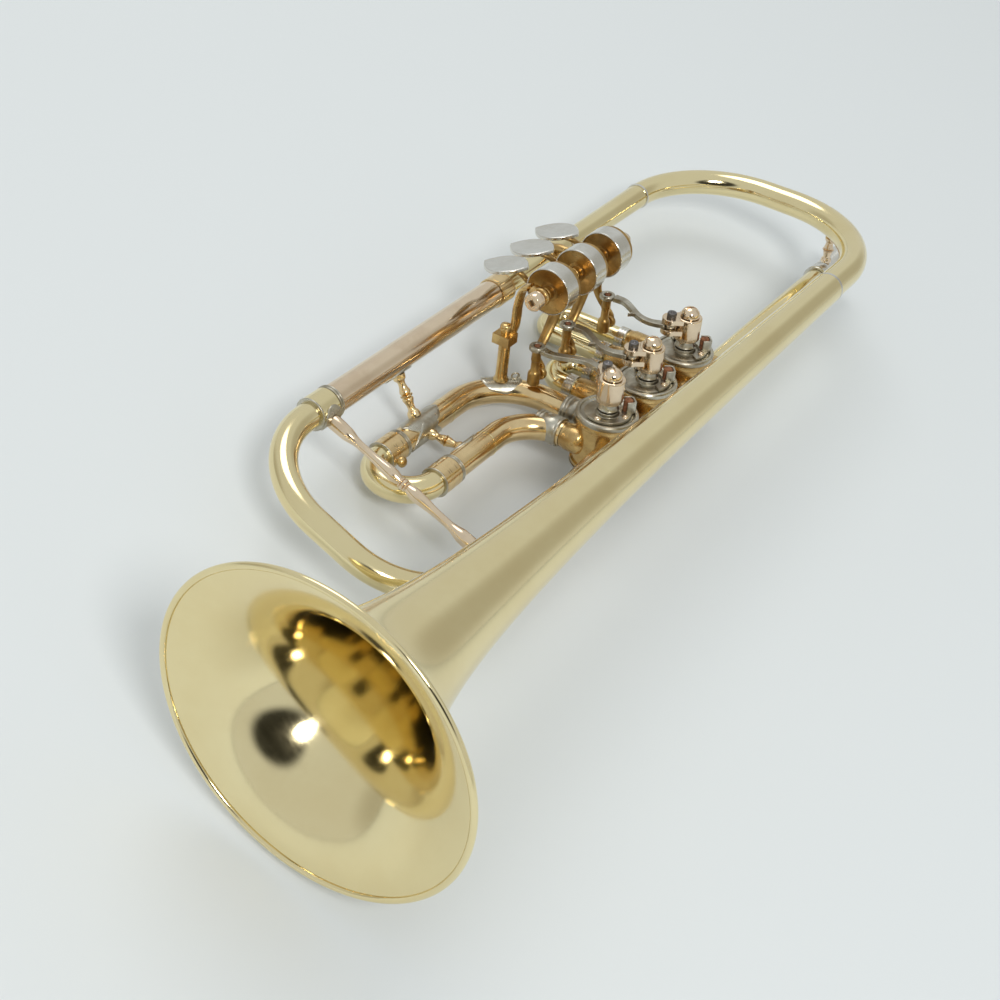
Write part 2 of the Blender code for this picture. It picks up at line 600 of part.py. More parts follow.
def build_post_and_link(number, tag):
    """The upright post that the lever pushes, and the S-shaped link on top of it."""
    top = PLANE_W + LINK_LOW - GAP
    post = axle_empty("post_axis" + tag, point(POST_U[number], POST_V, POST_BOTTOM_W))
    height = top - POST_BOTTOM_W
    outline = [(0.0, height), (POST_RADIUS, height), (POST_RADIUS, height - 4.0), (POST_RADIUS - 0.5, height - 4.6),
               (POST_RADIUS - 0.5, 4.0), (POST_FOOT, 3.4), (POST_FOOT, -POST_FOOT), (0.0, -POST_FOOT)]
    lathe("link_post" + tag, outline, "old_brass", Vector((0, 0, 0)), parent=post, steps=12)

    turn = math.radians(CRANK_ANGLE[number])
    pin = Vector((ROTOR_U[number] + CRANK_RADIUS * math.cos(turn), ROTOR_V + CRANK_RADIUS * math.sin(turn), 0))
    eye = Vector((POST_U[number], POST_V, 0)) - pin
    carrier = axle_empty("link_axis" + tag, point(pin.x, pin.y, PLANE_W + (LINK_LOW + LINK_TOP) / 2))
    centres = [eye * along + U * LINK_BULGE[number] * side for along, side in LINK_BENDS]
    corners = ribbon(smooth(centres, 3), LINK_WIDTH / 2)
    plate = to_mesh(outline_plate("link" + tag, corners, LINK_THICKNESS, "nickel", Matrix(), carrier))
    half = LINK_THICKNESS / 2
    rings = [("post", eye, EYE_RADIUS, half + 0.1, POST_RADIUS - 0.6),
             ("crank", Vector((0, 0, 0)), CRANK_RADIUS - BARREL_RADIUS - GAP, half, CRANK_PIN + GAP)]
    for end, at, radius, high, bore in rings:
        ring = rod("eye_%s%s" % (end, tag), radius, -high, high, None, at * MM, parent=carrier, steps=14, cutter=True)
        combine(plate, [ring], 'UNION')
    for end, at, radius, high, bore in rings:
        hole = rod("hole_%s%s" % (end, tag), bore, -2 * high, 2 * high, None, at * MM, parent=carrier, steps=10,
                   cutter=True)
        combine(plate, [hole], 'DIFFERENCE')


def smooth(points, parts):
    """Points on a Catmull-Rom curve through the given ones."""
    padded = [points[0] * 2 - points[1]] + points + [points[-1] * 2 - points[-2]]
    result = []
    for a, b, c, d in zip(padded, padded[1:], padded[2:], padded[3:]):
        for i in range(parts):
            t = i / parts
            result.append(((b * 2) + (c - a) * t + (a * 2 - b * 5 + c * 4 - d) * t ** 2
                           + (b * 3 - a - c * 3 + d) * t ** 3) / 2)
    return result + [points[-1]]


def ribbon(centres, half_width):
    """Outline of a flat strip along a line of centres."""
    left, right = [], []
    for i, centre in enumerate(centres):
        along = centres[min(i + 1, len(centres) - 1)] - centres[max(i - 1, 0)]
        side = Vector((-along.y, along.x, 0)).normalized() * half_width
        left.append(((centre + side).x, (centre + side).y))
        right.append(((centre - side).x, (centre - side).y))
    return left + right[::-1]


def build_axle():
    """The levers' common axle with its square nut, and the two brackets that carry it."""
    origin = point(AXLE_FRONT_U, AXLE_V, AXLE_W)
    length = AXLE_REAR_U - AXLE_FRONT_U
    outline = [(0.0, length), (3.6, length), (3.6, length - 3.0), (AXLE_RADIUS, length - 3.0), (AXLE_RADIUS, 5.0),
               (4.2, 5.0), (4.2, 0.0), (0.0, 0.0)]
    axle = lathe("lever_axle", outline, "old_brass", origin, U, steps=14)
    key = box("axle_square", (5.0, 3.0, 3.0), origin)
    combine(axle, [key], 'DIFFERENCE')
    turn = math.radians(47.0)
    corner = Vector((ROTOR_U[3] + PORT_OFFSET - THIRD_BEND["left"], THIRD_V["left"] - THIRD_BEND["left"], 0))
    tube_top = PLANE_W + KNUCKLE_RADIUS + GAP
    front_foot = corner + Vector((math.sin(turn), math.cos(turn), 0)) * THIRD_BEND["left"] + W * tube_top
    front = AXLE_FRONT_U + 7.2
    bracket("front", front, [Vector((front, AXLE_V + 3.4, AXLE_W)), Vector((front, AXLE_V + 8.0, AXLE_W - 3.0)),
                             Vector((front, (AXLE_V + 9.4 + front_foot.y) / 2, AXLE_W / 2)),
                             Vector((*front_foot.xy, 0.0)), Vector((*front_foot.xy, -4.0)), front_foot + W * 0.4],
            front_foot, W)
    rear = AXLE_REAR_U - 5.4
    up = Vector((0.0, -math.sin(SADDLE_TURN), math.cos(SADDLE_TURN)))
    rear_foot = Vector((rear, SIDE_V, 0.0)) + up * (BACK_START_RADIUS + 0.3 + 2 * GAP)
    bracket("rear", rear, [Vector((rear, AXLE_V + 3.4, AXLE_W - 1.0)), Vector((rear, AXLE_V + 8.5, AXLE_W - 8.0)),
                           Vector((rear, (AXLE_V + SIDE_V) / 2 + 4.0, AXLE_W - 14.0)), rear_foot + up * 3.0,
                           rear_foot + up * 0.4], rear_foot, up)


def bracket(name, u, path, foot, up):
    """A ring round the axle and an arm from it down to a foot on a tube."""
    ring = sleeve("axle_bracket_" + name, AXLE_RADIUS + GAP, 4.4, -1.2, 1.2, "old_brass", point(u, AXLE_V, AXLE_W), U,
                  steps=14)
    radii = [1.5, 1.6, 1.8, 2.0, 2.7, 2.7][:len(path)]
    bar = to_mesh(tube("bracket_arm_" + name, path, radii, None, 0, None, 1, cutter=True))
    flange = rod("bracket_foot_" + name, 4.0, 0.0, 1.6, None, foot * MM, up, cutter=True)
    combine(ring, [bar, flange], 'UNION')


def build_third_slide():
    """Third valve: two bent outer tubes, the slide with its bow and ferrules, and the braces."""
    slide_port = {"left": PORT_OFFSET, "right": -PORT_OFFSET}
    for side, v in THIRD_V.items():
        bend = THIRD_BEND[side]
        u = ROTOR_U[3] + slide_port[side]
        start = Vector((u, ROTOR_V + CASING_RADIUS + THIRD_STUB + GAP, PLANE_W))
        corner = Vector((u - bend, v - bend, PLANE_W))
        path = [start] + arc(corner, U, V, bend, 6) + [Vector((THIRD_OUTER_U, v, PLANE_W))]
        tube("third_outer_" + side, path, [KNUCKLE_RADIUS] * len(path), "old_brass")
        ferrule = (THIRD_OUTER_U - THIRD_BOW_U) - GAP
        sleeve("third_ferrule_" + side, KNUCKLE_RADIUS + GAP, KNUCKLE_RADIUS + 1.0, 0.6, ferrule, "nickel",
               point(THIRD_BOW_U, v, PLANE_W), U)
    left, right = (Vector((THIRD_BOW_U, THIRD_V[side], PLANE_W)) for side in ("left", "right"))
    middle, radius = (left + right) / 2, (left - right).length / 2
    bow = arc(middle, V, -U, radius, 5) + arc(middle, -U, -V, radius, 5)[1:]
    ends = [Vector((THIRD_INNER_U[side], THIRD_V[side], PLANE_W)) for side in ("left", "right")]
    near = Vector((4.0, 0, 0))
    path = [ends[0], left + near] + bow + [right + near, ends[1]]
    radii = [PORT_RADIUS] * 2 + [KNUCKLE_RADIUS] * len(bow) + [PORT_RADIUS] * 2
    tube("third_slide", path, radii, "brass")

    gap = (left - right).length - 2 * (KNUCKLE_RADIUS + GAP)
    start = Vector((THIRD_OUTER_U + 8.0, THIRD_V["left"] - KNUCKLE_RADIUS - GAP, PLANE_W))
    baluster("third_leg_brace", start, -V, gap, 2.6, "old_brass")
    brace_u = THIRD_OUTER_U + 17.0
    top, low = Vector((brace_u, SIDE_V, 0)), Vector((brace_u, THIRD_V["left"], PLANE_W))
    down = (low - top).normalized()
    length = (low - top).length - OUTER_RADIUS - KNUCKLE_RADIUS - 2 * GAP
    baluster("third_brace", top + down * (OUTER_RADIUS + GAP), down, length, 3.0, "old_brass")


def build_short_slide(number, name):
    """The first or second valve's slide: a tight bow whose legs run in the casing's tubes."""
    u, v = ROTOR_U[number], SHORT_BOW_V[number]
    middle = Vector((u, v, PLANE_W))
    bow = arc(middle, U, V, PORT_OFFSET, 4) + arc(middle, V, -U, PORT_OFFSET, 4)[1:]
    inner = SHORT_INNER_V[number]
    path = [Vector((u + PORT_OFFSET, inner, PLANE_W))] + bow + [Vector((u - PORT_OFFSET, inner, PLANE_W))]
    tube(name, path, [PORT_RADIUS] * len(path), "brass")


def build_corner_brace():
    """The turned brace from the back bow down to the mouthpipe."""
    top = BACK_CORNER_BELL - MAIN_V
    u = BACK_U - BACK_CORNER_BELL + math.sqrt(BACK_CORNER_BELL ** 2 - top ** 2)
    length = -PLANE_W - BACK_END_RADIUS - RECEIVER_RADIUS - 2 * GAP
    baluster("corner_brace", Vector((u, MAIN_V, -BACK_END_RADIUS - GAP)), -W, length, 2.8, "rose", flange=4.4)


def support_heights(normal):
    """Lowest reach of the three features that the instrument rests on, along a unit normal."""
    rim = -BELL_RADIUS * math.hypot(normal.y, normal.z)
    bow = Vector((THIRD_BOW_U, (THIRD_V["left"] + THIRD_V["right"]) / 2, PLANE_W))
    half = (THIRD_V["left"] - THIRD_V["right"]) / 2
    slide = normal.dot(bow) - half * math.hypot(normal.x, normal.y) - KNUCKLE_RADIUS
    cap = Vector((ROTOR_U[1], ROTOR_V, PLANE_W - TOP_W - GAP - CAP_THICKNESS))
    valve = normal.dot(cap) - (CAP_RADIUS - CAP_CHAMFER) * math.hypot(normal.x, normal.y)
    return rim, slide, valve


def resting_normal(rounds=20, nudge=1e-4):
    """Unit normal of the plane that touches the rim, the third slide and the first cap."""
    def misfit(a, b):
        rim, slide, valve = support_heights(Vector((-a, -b, 1)).normalized())
        return Vector((slide - rim, valve - rim))
    a, b = 0.04, 0.2
    for _ in range(rounds):
        miss = misfit(a, b)
        by_a, by_b = (misfit(a + nudge, b) - miss) / nudge, (misfit(a, b + nudge) - miss) / nudge
        determinant = by_a.x * by_b.y - by_b.x * by_a.y
        a -= (miss.x * by_b.y - by_b.x * miss.y) / determinant
        b -= (by_a.x * miss.y - miss.x * by_a.y) / determinant
    return Vector((-a, -b, 1)).normalized()


def lay_down():
    """Tilt the root so that the instrument rests on its three supports, and centre it."""
    up = resting_normal()
    forward = (U - up * U.dot(up)).normalized()
    ROOT.matrix_world = Matrix((forward, up.cross(forward), up)).to_4x4()
    bpy.context.view_layer.update()
    depsgraph = bpy.context.evaluated_depsgraph_get()
    low, high = Vector((1e9,) * 3), Vector((-1e9,) * 3)
    for obj in PARTS.objects:
        if obj.type == 'EMPTY':
            continue
        shape = obj.evaluated_get(depsgraph)
        mesh = shape.to_mesh()
        for vertex in mesh.vertices:
            at = shape.matrix_world @ vertex.co
            low = Vector(map(min, low, at))
            high = Vector(map(max, high, at))
        shape.to_mesh_clear()
    ROOT.location = Vector((-(low.x + high.x) / 2, -(low.y + high.y) / 2, -low.z))


def main():
    """Build every piece and lay the instrument down."""
    build_bell()
    build_back_bow()
    build_main_tubes()
    build_tuning_slide()
    for number in ROTOR_U:
        build_valve(number)
    for number in HUB_U:
        build_lever(number)
    build_axle()
    build_third_slide()
    build_short_slide(2, "second_slide")
    build_short_slide(1, "first_slide")
    build_corner_brace()
    lay_down()
    bpy.context.view_layer.update()


main()
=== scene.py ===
"""A rotary valve trumpet lying on its side: fine meshes, metal finishes, floor, light and camera.

Every sub-assembly is a class. Its sizes are dataclass fields in millimetres, in the instrument's own axes:
u runs from the bell's rim towards the back bow, v towards the keys, and w up through the valves' spindles.
"""
import json
import logging
import math
from dataclasses import dataclass
from enum import Enum, auto
from typing import Optional, Sequence

import bmesh
import bpy
from mathutils import Matrix, Vector


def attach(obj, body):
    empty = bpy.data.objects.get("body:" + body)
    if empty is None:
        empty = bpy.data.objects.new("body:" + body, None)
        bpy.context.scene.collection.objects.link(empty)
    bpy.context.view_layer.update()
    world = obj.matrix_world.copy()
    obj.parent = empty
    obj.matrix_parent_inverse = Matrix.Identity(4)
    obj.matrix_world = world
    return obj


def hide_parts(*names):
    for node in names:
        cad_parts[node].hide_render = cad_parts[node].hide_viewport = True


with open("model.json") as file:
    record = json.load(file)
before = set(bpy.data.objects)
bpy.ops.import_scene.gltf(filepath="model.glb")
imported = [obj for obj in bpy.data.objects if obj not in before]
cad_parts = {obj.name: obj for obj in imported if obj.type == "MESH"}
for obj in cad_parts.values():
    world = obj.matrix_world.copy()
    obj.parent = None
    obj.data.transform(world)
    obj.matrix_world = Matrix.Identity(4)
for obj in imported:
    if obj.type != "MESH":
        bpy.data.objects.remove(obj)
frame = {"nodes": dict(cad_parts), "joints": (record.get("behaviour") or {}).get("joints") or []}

LOG = logging.getLogger("trumpet")
MM = 0.001
GAP = 0.3
FIRST_ROTOR = Vector((322.0, 35.0, -28.0))
U, V, W = Vector((1.0, 0.0, 0.0)), Vector((0.0, 1.0, 0.0)), Vector((0.0, 0.0, 1.0))

Profile = Sequence[tuple[float, float]]
Colour = tuple[float, float, float]


class Finish(Enum):
    """The finishes that pieces are dressed in."""

    BRASS = auto()
    GOLD = auto()
    OLD_BRASS = auto()
    AMBER = auto()
    ROSE = auto()
    NICKEL = auto()
    WORN_NICKEL = auto()
    DARK_STEEL = auto()
    CORK = auto()


@dataclass(frozen=True)
class Axes:
    """The instrument's axes in the world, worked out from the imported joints.

    Attributes:
        turn: Rotation from the instrument's axes to the world's.
        origin: World place of the bell rim's centre, in metres.
    """

    turn: Matrix
    origin: Vector

    @classmethod
    def from_joints(cls, joints: Sequence[dict]) -> "Axes":
        """Read the axes off the first key's and the first rotor's hinges.

        Args:
            joints: The record's joints.

        Returns:
            The instrument's axes.
        """
        by_name = {joint["name"]: joint for joint in joints}
        along = Vector(by_name["key_1_press"]["axis"]).normalized()
        up = Vector(by_name["rotor_1_turn"]["axis"]).normalized()
        turn = Matrix((along, up.cross(along), up)).transposed()
        origin = Vector(by_name["rotor_1_turn"]["pos_m"]) - turn @ (FIRST_ROTOR * MM)
        return cls(turn, origin)

    def point(self, at: Vector) -> Vector:
        """Return a place given in millimetres as a world place in metres."""
        return self.origin + self.turn @ (at * MM)

    def direction(self, way: Vector) -> Vector:
        """Return a direction in the world."""
        return (self.turn @ way).normalized()


def arc(centre: Vector, start: Vector, end: Vector, radius: float, steps: int = 18,
        sweep: float = math.pi / 2) -> list[Vector]:
    """Points on an arc that leaves centre + radius * start towards end.

    Args:
        centre: Centre of the arc.
        start: Unit direction of the first point.
        end: Unit direction, at right angles to start, that the arc turns towards.
        radius: Radius of the arc.
        steps: Number of chords.
        sweep: Angle of the arc in radians.

    Returns:
        The points, both ends included.
    """
    turns = [sweep * i / steps for i in range(steps + 1)]
    return [centre + (start * math.cos(t) + end * math.sin(t)) * radius for t in turns]


def smooth(points: Sequence[Vector], parts: int = 6) -> list[Vector]:
    """Points on a Catmull-Rom curve through the given ones.

    Args:
        points: Points that the curve passes through.
        parts: Chords between two neighbours.

    Returns:
        The finer points.
    """
    padded = [points[0] * 2 - points[1], *points, points[-1] * 2 - points[-2]]
    result = []
    for a, b, c, d in zip(padded, padded[1:], padded[2:], padded[3:]):
        for i in range(parts):
            t = i / parts
            result.append((b * 2 + (c - a) * t + (a * 2 - b * 5 + c * 4 - d) * t ** 2
                           + (b * 3 - a - c * 3 + d) * t ** 3) / 2)
    return result + [points[-1].copy()]


def smooth_profile(profile: Profile, parts: int = 5) -> list[tuple[float, float]]:
    """Round off a turned outline of (radius, height) pairs."""
    fine = smooth([Vector((r, h, 0.0)) for r, h in profile], parts)
    return [(max(p.x, 0.0), p.y) for p in fine]


def blend_radii(path: Sequence[Vector], start: float, end: float) -> list[float]:
    """Radii that grow evenly along a path from one value to another."""
    lengths = [0.0]
    for a, b in zip(path, path[1:]):
        lengths.append(lengths[-1] + (b - a).length)
    return [start + (end - start) * length / lengths[-1] for length in lengths]


def superellipse(half_length: float, half_width: float, power: float, steps: int = 48) -> list[tuple[float,
                                                                                                     float]]:
    """Outline of a superellipse: power 1 is a diamond, 2 an ellipse, more a rounded box.

    Args:
        half_length: Half size along the first axis.
        half_width: Half size along the second axis.
        power: The superellipse's exponent.
        steps: Number of corners.

    Returns:
        Corners as pairs.
    """
    corners = []
    for i in range(steps):
        t = math.tau * i / steps
        c, s = math.cos(t), math.sin(t)
        corners.append((half_length * math.copysign(abs(c) ** (2 / power), c),
                        half_width * math.copysign(abs(s) ** (2 / power), s)))
    return corners


def grooves(radius: float, length: float, places: Sequence[float], depth: float = 0.16,
            width: float = 0.5) -> list[tuple[float, float]]:
    """Outer outline of a sleeve with engraved lines, from its low end to its high end.

    Args:
        radius: Outer radius.
        length: Length of the sleeve.
        places: Distance of each line from the low end.
        depth: Depth of a line.
        width: Width of a line.

    Returns:
        The outline as (radius, height) pairs.
    """
    outline = [(radius - 0.2, 0.0), (radius, 0.2)]
    for at in places:
        outline += [(radius, at - width / 2), (radius - depth, at - width / 5),
                    (radius - depth, at + width / 5), (radius, at + width / 2)]
    return outline + [(radius, length - 0.2), (radius - 0.2, length)]


def bead_ring(radius: float, rise: float, width: float, beads: int = 1) -> list[tuple[float, float]]:
    """Outline of one or more half-round beads side by side, from height 0.

    Args:
        radius: Radius that the beads stand on.
        rise: Height of a bead.
        width: Width of a bead.
        beads: Number of beads.

    Returns:
        The outline as (radius, height) pairs.
    """
    outline = []
    for bead in range(beads):
        for i in range(7):
            t = math.pi * i / 6
            outline.append((radius + rise * math.sin(t), bead * width + width / 2 * (1 - math.cos(t))))
    return outline


class Form:
    """A mesh under construction, in the instrument's axes and millimetres."""

    def __init__(self) -> None:
        """Start with an empty mesh."""
        self.mesh = bmesh.new()

    def spin(self, profile: Profile, centre: Vector, axis: Vector, steps: int = 64,
             closed: bool = False) -> "Form":
        """Turn an outline about an axis.

        Args:
            profile: (radius, height) pairs; a radius of 0 makes a pole.
            centre: Place on the axis at height 0.
            axis: Direction of the axis.
            steps: Corners round the axis.
            closed: Whether the last pair joins the first.

        Returns:
            This form.
        """
        along = axis.normalized()
        side = along.orthogonal().normalized()
        other = along.cross(side)
        spokes = [side * math.cos(math.tau * i / steps) + other * math.sin(math.tau * i / steps)
                  for i in range(steps)]
        rings = []
        for radius, height in profile:
            at = centre + along * height
            spread = spokes if radius > 1e-6 else spokes[:1]
            rings.append([self.mesh.verts.new(at + spoke * max(radius, 0.0)) for spoke in spread])
        pairs = list(zip(rings, rings[1:]))
        if closed:
            pairs.append((rings[-1], rings[0]))
        for a, b in pairs:
            self._bridge(a, b)
        return self

    def sweep(self, path: Sequence[Vector], radii: Sequence[float] | float, sides: int = 32,
              wall: float = 0.0, flatten: float = 1.0, flat_way: Optional[Vector] = None) -> "Form":
        """Run a round or flattened bar or tube along a path.

        Args:
            path: Centre line.
            radii: Radius at each point, or one for all.
            sides: Corners of the section.
            wall: Wall of a tube, or 0 for a bar with closed ends.
            flatten: Size of the section along flat_way, as a share of the other.
            flat_way: Direction that the section is flattened in.

        Returns:
            This form.
        """
        sizes = [radii] * len(path) if isinstance(radii, (int, float)) else list(radii)
        outer = self._rings(path, sizes, sides, flatten, flat_way)
        for a, b in zip(outer, outer[1:]):
            self._bridge(a, b)
        if not wall:
            self.mesh.faces.new(outer[0][::-1])
            self.mesh.faces.new(outer[-1])
            return self
        inner = self._rings(path, [size - wall for size in sizes], sides, flatten, flat_way)
        for a, b in zip(inner, inner[1:]):
            self._bridge(b, a)
        self._bridge(inner[0], outer[0])
        self._bridge(outer[-1], inner[-1])
        return self

    def plate(self, outline: Profile, thickness: float, origin: Vector, across: Vector, along: Vector,
              crown: float = 0.0) -> "Form":
        """Extrude a flat outline to both sides of its plane.

        Args:
            outline: Corners in the plane.
            thickness: Thickness of the plate.
            origin: Place of the outline's origin.
            across: Direction of the outline's first axis.
            along: Direction of its second axis.
            crown: Rise of the middle over the edge.

        Returns:
            This form.
        """
        up = across.cross(along).normalized()
        shares = (1.0, 0.93, 0.8, 0.6, 0.35) if crown else (1.0,)
        layers = []
        for side in (-1, 1):
            rings = []
            for share in shares:
                lift = up * (side * thickness / 2 + crown * (1 - share ** 2))
                rings.append([self.mesh.verts.new(origin + across * x * share + along * y * share + lift)
                              for x, y in outline])
            for a, b in zip(rings, rings[1:]):
                self._bridge(a, b)
            self.mesh.faces.new(rings[-1])
            layers.append(rings[0])
        self._bridge(*layers)
        return self

    def wrap(self, outline: Profile, centre: Vector, axis: Vector, towards: Vector, radius: float,
             thickness: float = 0.5, rings: int = 7) -> "Form":
        """Lay a thin plate on a round tube.

        Args:
            outline: Corners as (along the tube, round the tube) in millimetres.
            centre: Place on the tube's centre line under the plate's middle.
            axis: Direction of the tube.
            towards: Direction from the centre line to the plate's middle.
            radius: Radius of the tube.
            thickness: Thickness of the plate.
            rings: Rings of faces between the middle and the edge.

        Returns:
            This form.
        """
        out = (towards - axis * towards.dot(axis)).normalized()
        side = axis.cross(out)

        def lay(share: float, lift: float) -> list:
            corners = []
            for s, a in outline:
                t = a * share / radius
                corners.append(self.mesh.verts.new(
                    centre + axis * s * share + (out * math.cos(t) + side * math.sin(t)) * (radius + lift)))
            return corners

        layers = [lay(1.0, -0.25), lay(1.0, thickness * 0.6), lay(0.97, thickness)]
        layers += [lay(1 - i / rings, thickness) for i in range(1, rings)]
        for a, b in zip(layers, layers[1:]):
            self._bridge(a, b)
        self.mesh.faces.new(layers[-1])
        return self

    def block(self, centre: Vector, size: Vector, across: Vector = U, along: Vector = V) -> "Form":
        """Add a box with its sides along the given directions."""
        half = size / 2
        return self.plate([(-half.x, -half.y), (half.x, -half.y), (half.x, half.y), (-half.x, half.y)],
                          size.z, centre, across, along)

    def _rings(self, path: Sequence[Vector], sizes: Sequence[float], sides: int, flatten: float,
               flat_way: Optional[Vector]) -> list[list]:
        """Sections along a path, turned as little as possible from one to the next."""
        rings = []
        normal = None
        for i, at in enumerate(path):
            tangent = (path[min(i + 1, len(path) - 1)] - path[max(i - 1, 0)]).normalized()
            normal = flat_way if flat_way else (normal or tangent.orthogonal())
            normal = (normal - tangent * normal.dot(tangent)).normalized()
            other = tangent.cross(normal)
            turns = [math.tau * k / sides for k in range(sides)]
            rings.append([self.mesh.verts.new(at + (normal * math.cos(t) * flatten
                                                    + other * math.sin(t)) * sizes[i])
                          for t in turns])
        return rings

    def _bridge(self, a: list, b: list) -> None:
        """Join two rings of corners, either of which may be a pole."""
        count = max(len(a), len(b))
        for k in range(count):
            n = (k + 1) % count
            if len(a) == 1 and len(b) > 1:
                self.mesh.faces.new((a[0], b[n], b[k]))
            elif len(b) == 1 and len(a) > 1:
                self.mesh.faces.new((a[k], a[n], b[0]))
            elif len(a) > 1:
                self.mesh.faces.new((a[k], a[n], b[n], b[k]))


class NodeGroups:
    """Shader node groups that several finishes share."""

    @staticmethod
    def start(name: str, inputs: dict[str, float | Colour], outputs: dict[str, str]) -> bpy.types.NodeTree:
        """Make an empty group with its sockets.

        Args:
            name: Name of the group.
            inputs: Default of each input; a tuple makes a colour.
            outputs: Socket type of each output.

        Returns:
            The group's node tree.
        """
        tree = bpy.data.node_groups.new(name, "ShaderNodeTree")
        for socket, value in inputs.items():
            kind = "NodeSocketColor" if isinstance(value, tuple) else "NodeSocketFloat"
            made = tree.interface.new_socket(socket, in_out="INPUT", socket_type=kind)
            made.default_value = (*value, 1.0) if isinstance(value, tuple) else value
        for socket, kind in outputs.items():
            tree.interface.new_socket(socket, in_out="OUTPUT", socket_type=kind)
        return tree

    @classmethod
    def tarnish(cls) -> bpy.types.NodeTree:
        """Clouds of darker, redder metal where hands and air have worked on it.

        Returns:
            The group: Clean, Dull, Amount and Size in, Colour and Mask out.
        """
        tree = cls.start("tarnish", {"Clean": (0.9, 0.8, 0.5), "Dull": (0.4, 0.3, 0.1), "Amount": 0.5,
                                     "Size": 60.0},
                         {"Colour": "NodeSocketColor", "Mask": "NodeSocketFloat"})
        nodes, links = tree.nodes, tree.links
        given, result = nodes.new("NodeGroupInput"), nodes.new("NodeGroupOutput")
        place = nodes.new("ShaderNodeTexCoord")
        clouds = nodes.new("ShaderNodeTexNoise")
        clouds.inputs["Detail"].default_value = 6.0
        clouds.inputs["Roughness"].default_value = 0.62
        links.new(place.outputs["Object"], clouds.inputs["Vector"])
        links.new(given.outputs["Size"], clouds.inputs["Scale"])
        sharpen = nodes.new("ShaderNodeMapRange")
        sharpen.interpolation_type = 'SMOOTHSTEP'
        sharpen.inputs["From Min"].default_value = 0.36
        sharpen.inputs["From Max"].default_value = 0.66
        links.new(clouds.outputs["Fac"], sharpen.inputs["Value"])
        weigh = nodes.new("ShaderNodeMath")
        weigh.operation = 'MULTIPLY'
        links.new(sharpen.outputs["Result"], weigh.inputs[0])
        links.new(given.outputs["Amount"], weigh.inputs[1])
        mix = nodes.new("ShaderNodeMix")
        mix.data_type = 'RGBA'
        links.new(weigh.outputs["Value"], mix.inputs["Factor"])
        links.new(given.outputs["Clean"], mix.inputs[6])
        links.new(given.outputs["Dull"], mix.inputs[7])
        links.new(mix.outputs[2], result.inputs["Colour"])
        links.new(weigh.outputs["Value"], result.inputs["Mask"])
        return tree

    @classmethod
    def handling(cls) -> bpy.types.NodeTree:
        """Fine scratches, specks and the slow unevenness of hand polishing.

        Returns:
            The group: Base, Spread, Fine and Slow in, Roughness and Height out.
        """
        tree = cls.start("handling", {"Base": 0.1, "Spread": 0.1, "Fine": 900.0, "Slow": 25.0},
                         {"Roughness": "NodeSocketFloat", "Height": "NodeSocketFloat"})
        nodes, links = tree.nodes, tree.links
        given, result = nodes.new("NodeGroupInput"), nodes.new("NodeGroupOutput")
        place = nodes.new("ShaderNodeTexCoord")
        stretch = nodes.new("ShaderNodeMapping")
        stretch.inputs["Scale"].default_value = (1.0, 0.14, 0.5)
        stretch.inputs["Rotation"].default_value = (0.3, 0.2, 0.9)
        fine, slow = nodes.new("ShaderNodeTexNoise"), nodes.new("ShaderNodeTexNoise")
        fine.inputs["Detail"].default_value = 4.0
        slow.inputs["Detail"].default_value = 1.0
        links.new(place.outputs["Object"], stretch.inputs["Vector"])
        links.new(stretch.outputs["Vector"], fine.inputs["Vector"])
        links.new(place.outputs["Object"], slow.inputs["Vector"])
        links.new(given.outputs["Fine"], fine.inputs["Scale"])
        links.new(given.outputs["Slow"], slow.inputs["Scale"])
        spread = nodes.new("ShaderNodeMath")
        spread.operation = 'MULTIPLY_ADD'
        links.new(fine.outputs["Fac"], spread.inputs[0])
        links.new(given.outputs["Spread"], spread.inputs[1])
        links.new(given.outputs["Base"], spread.inputs[2])
        height = nodes.new("ShaderNodeMath")
        height.operation = 'MULTIPLY_ADD'
        links.new(fine.outputs["Fac"], height.inputs[0])
        height.inputs[1].default_value = 0.06
        links.new(slow.outputs["Fac"], height.inputs[2])
        links.new(spread.outputs["Value"], result.inputs["Roughness"])
        links.new(height.outputs["Value"], result.inputs["Height"])
        return tree


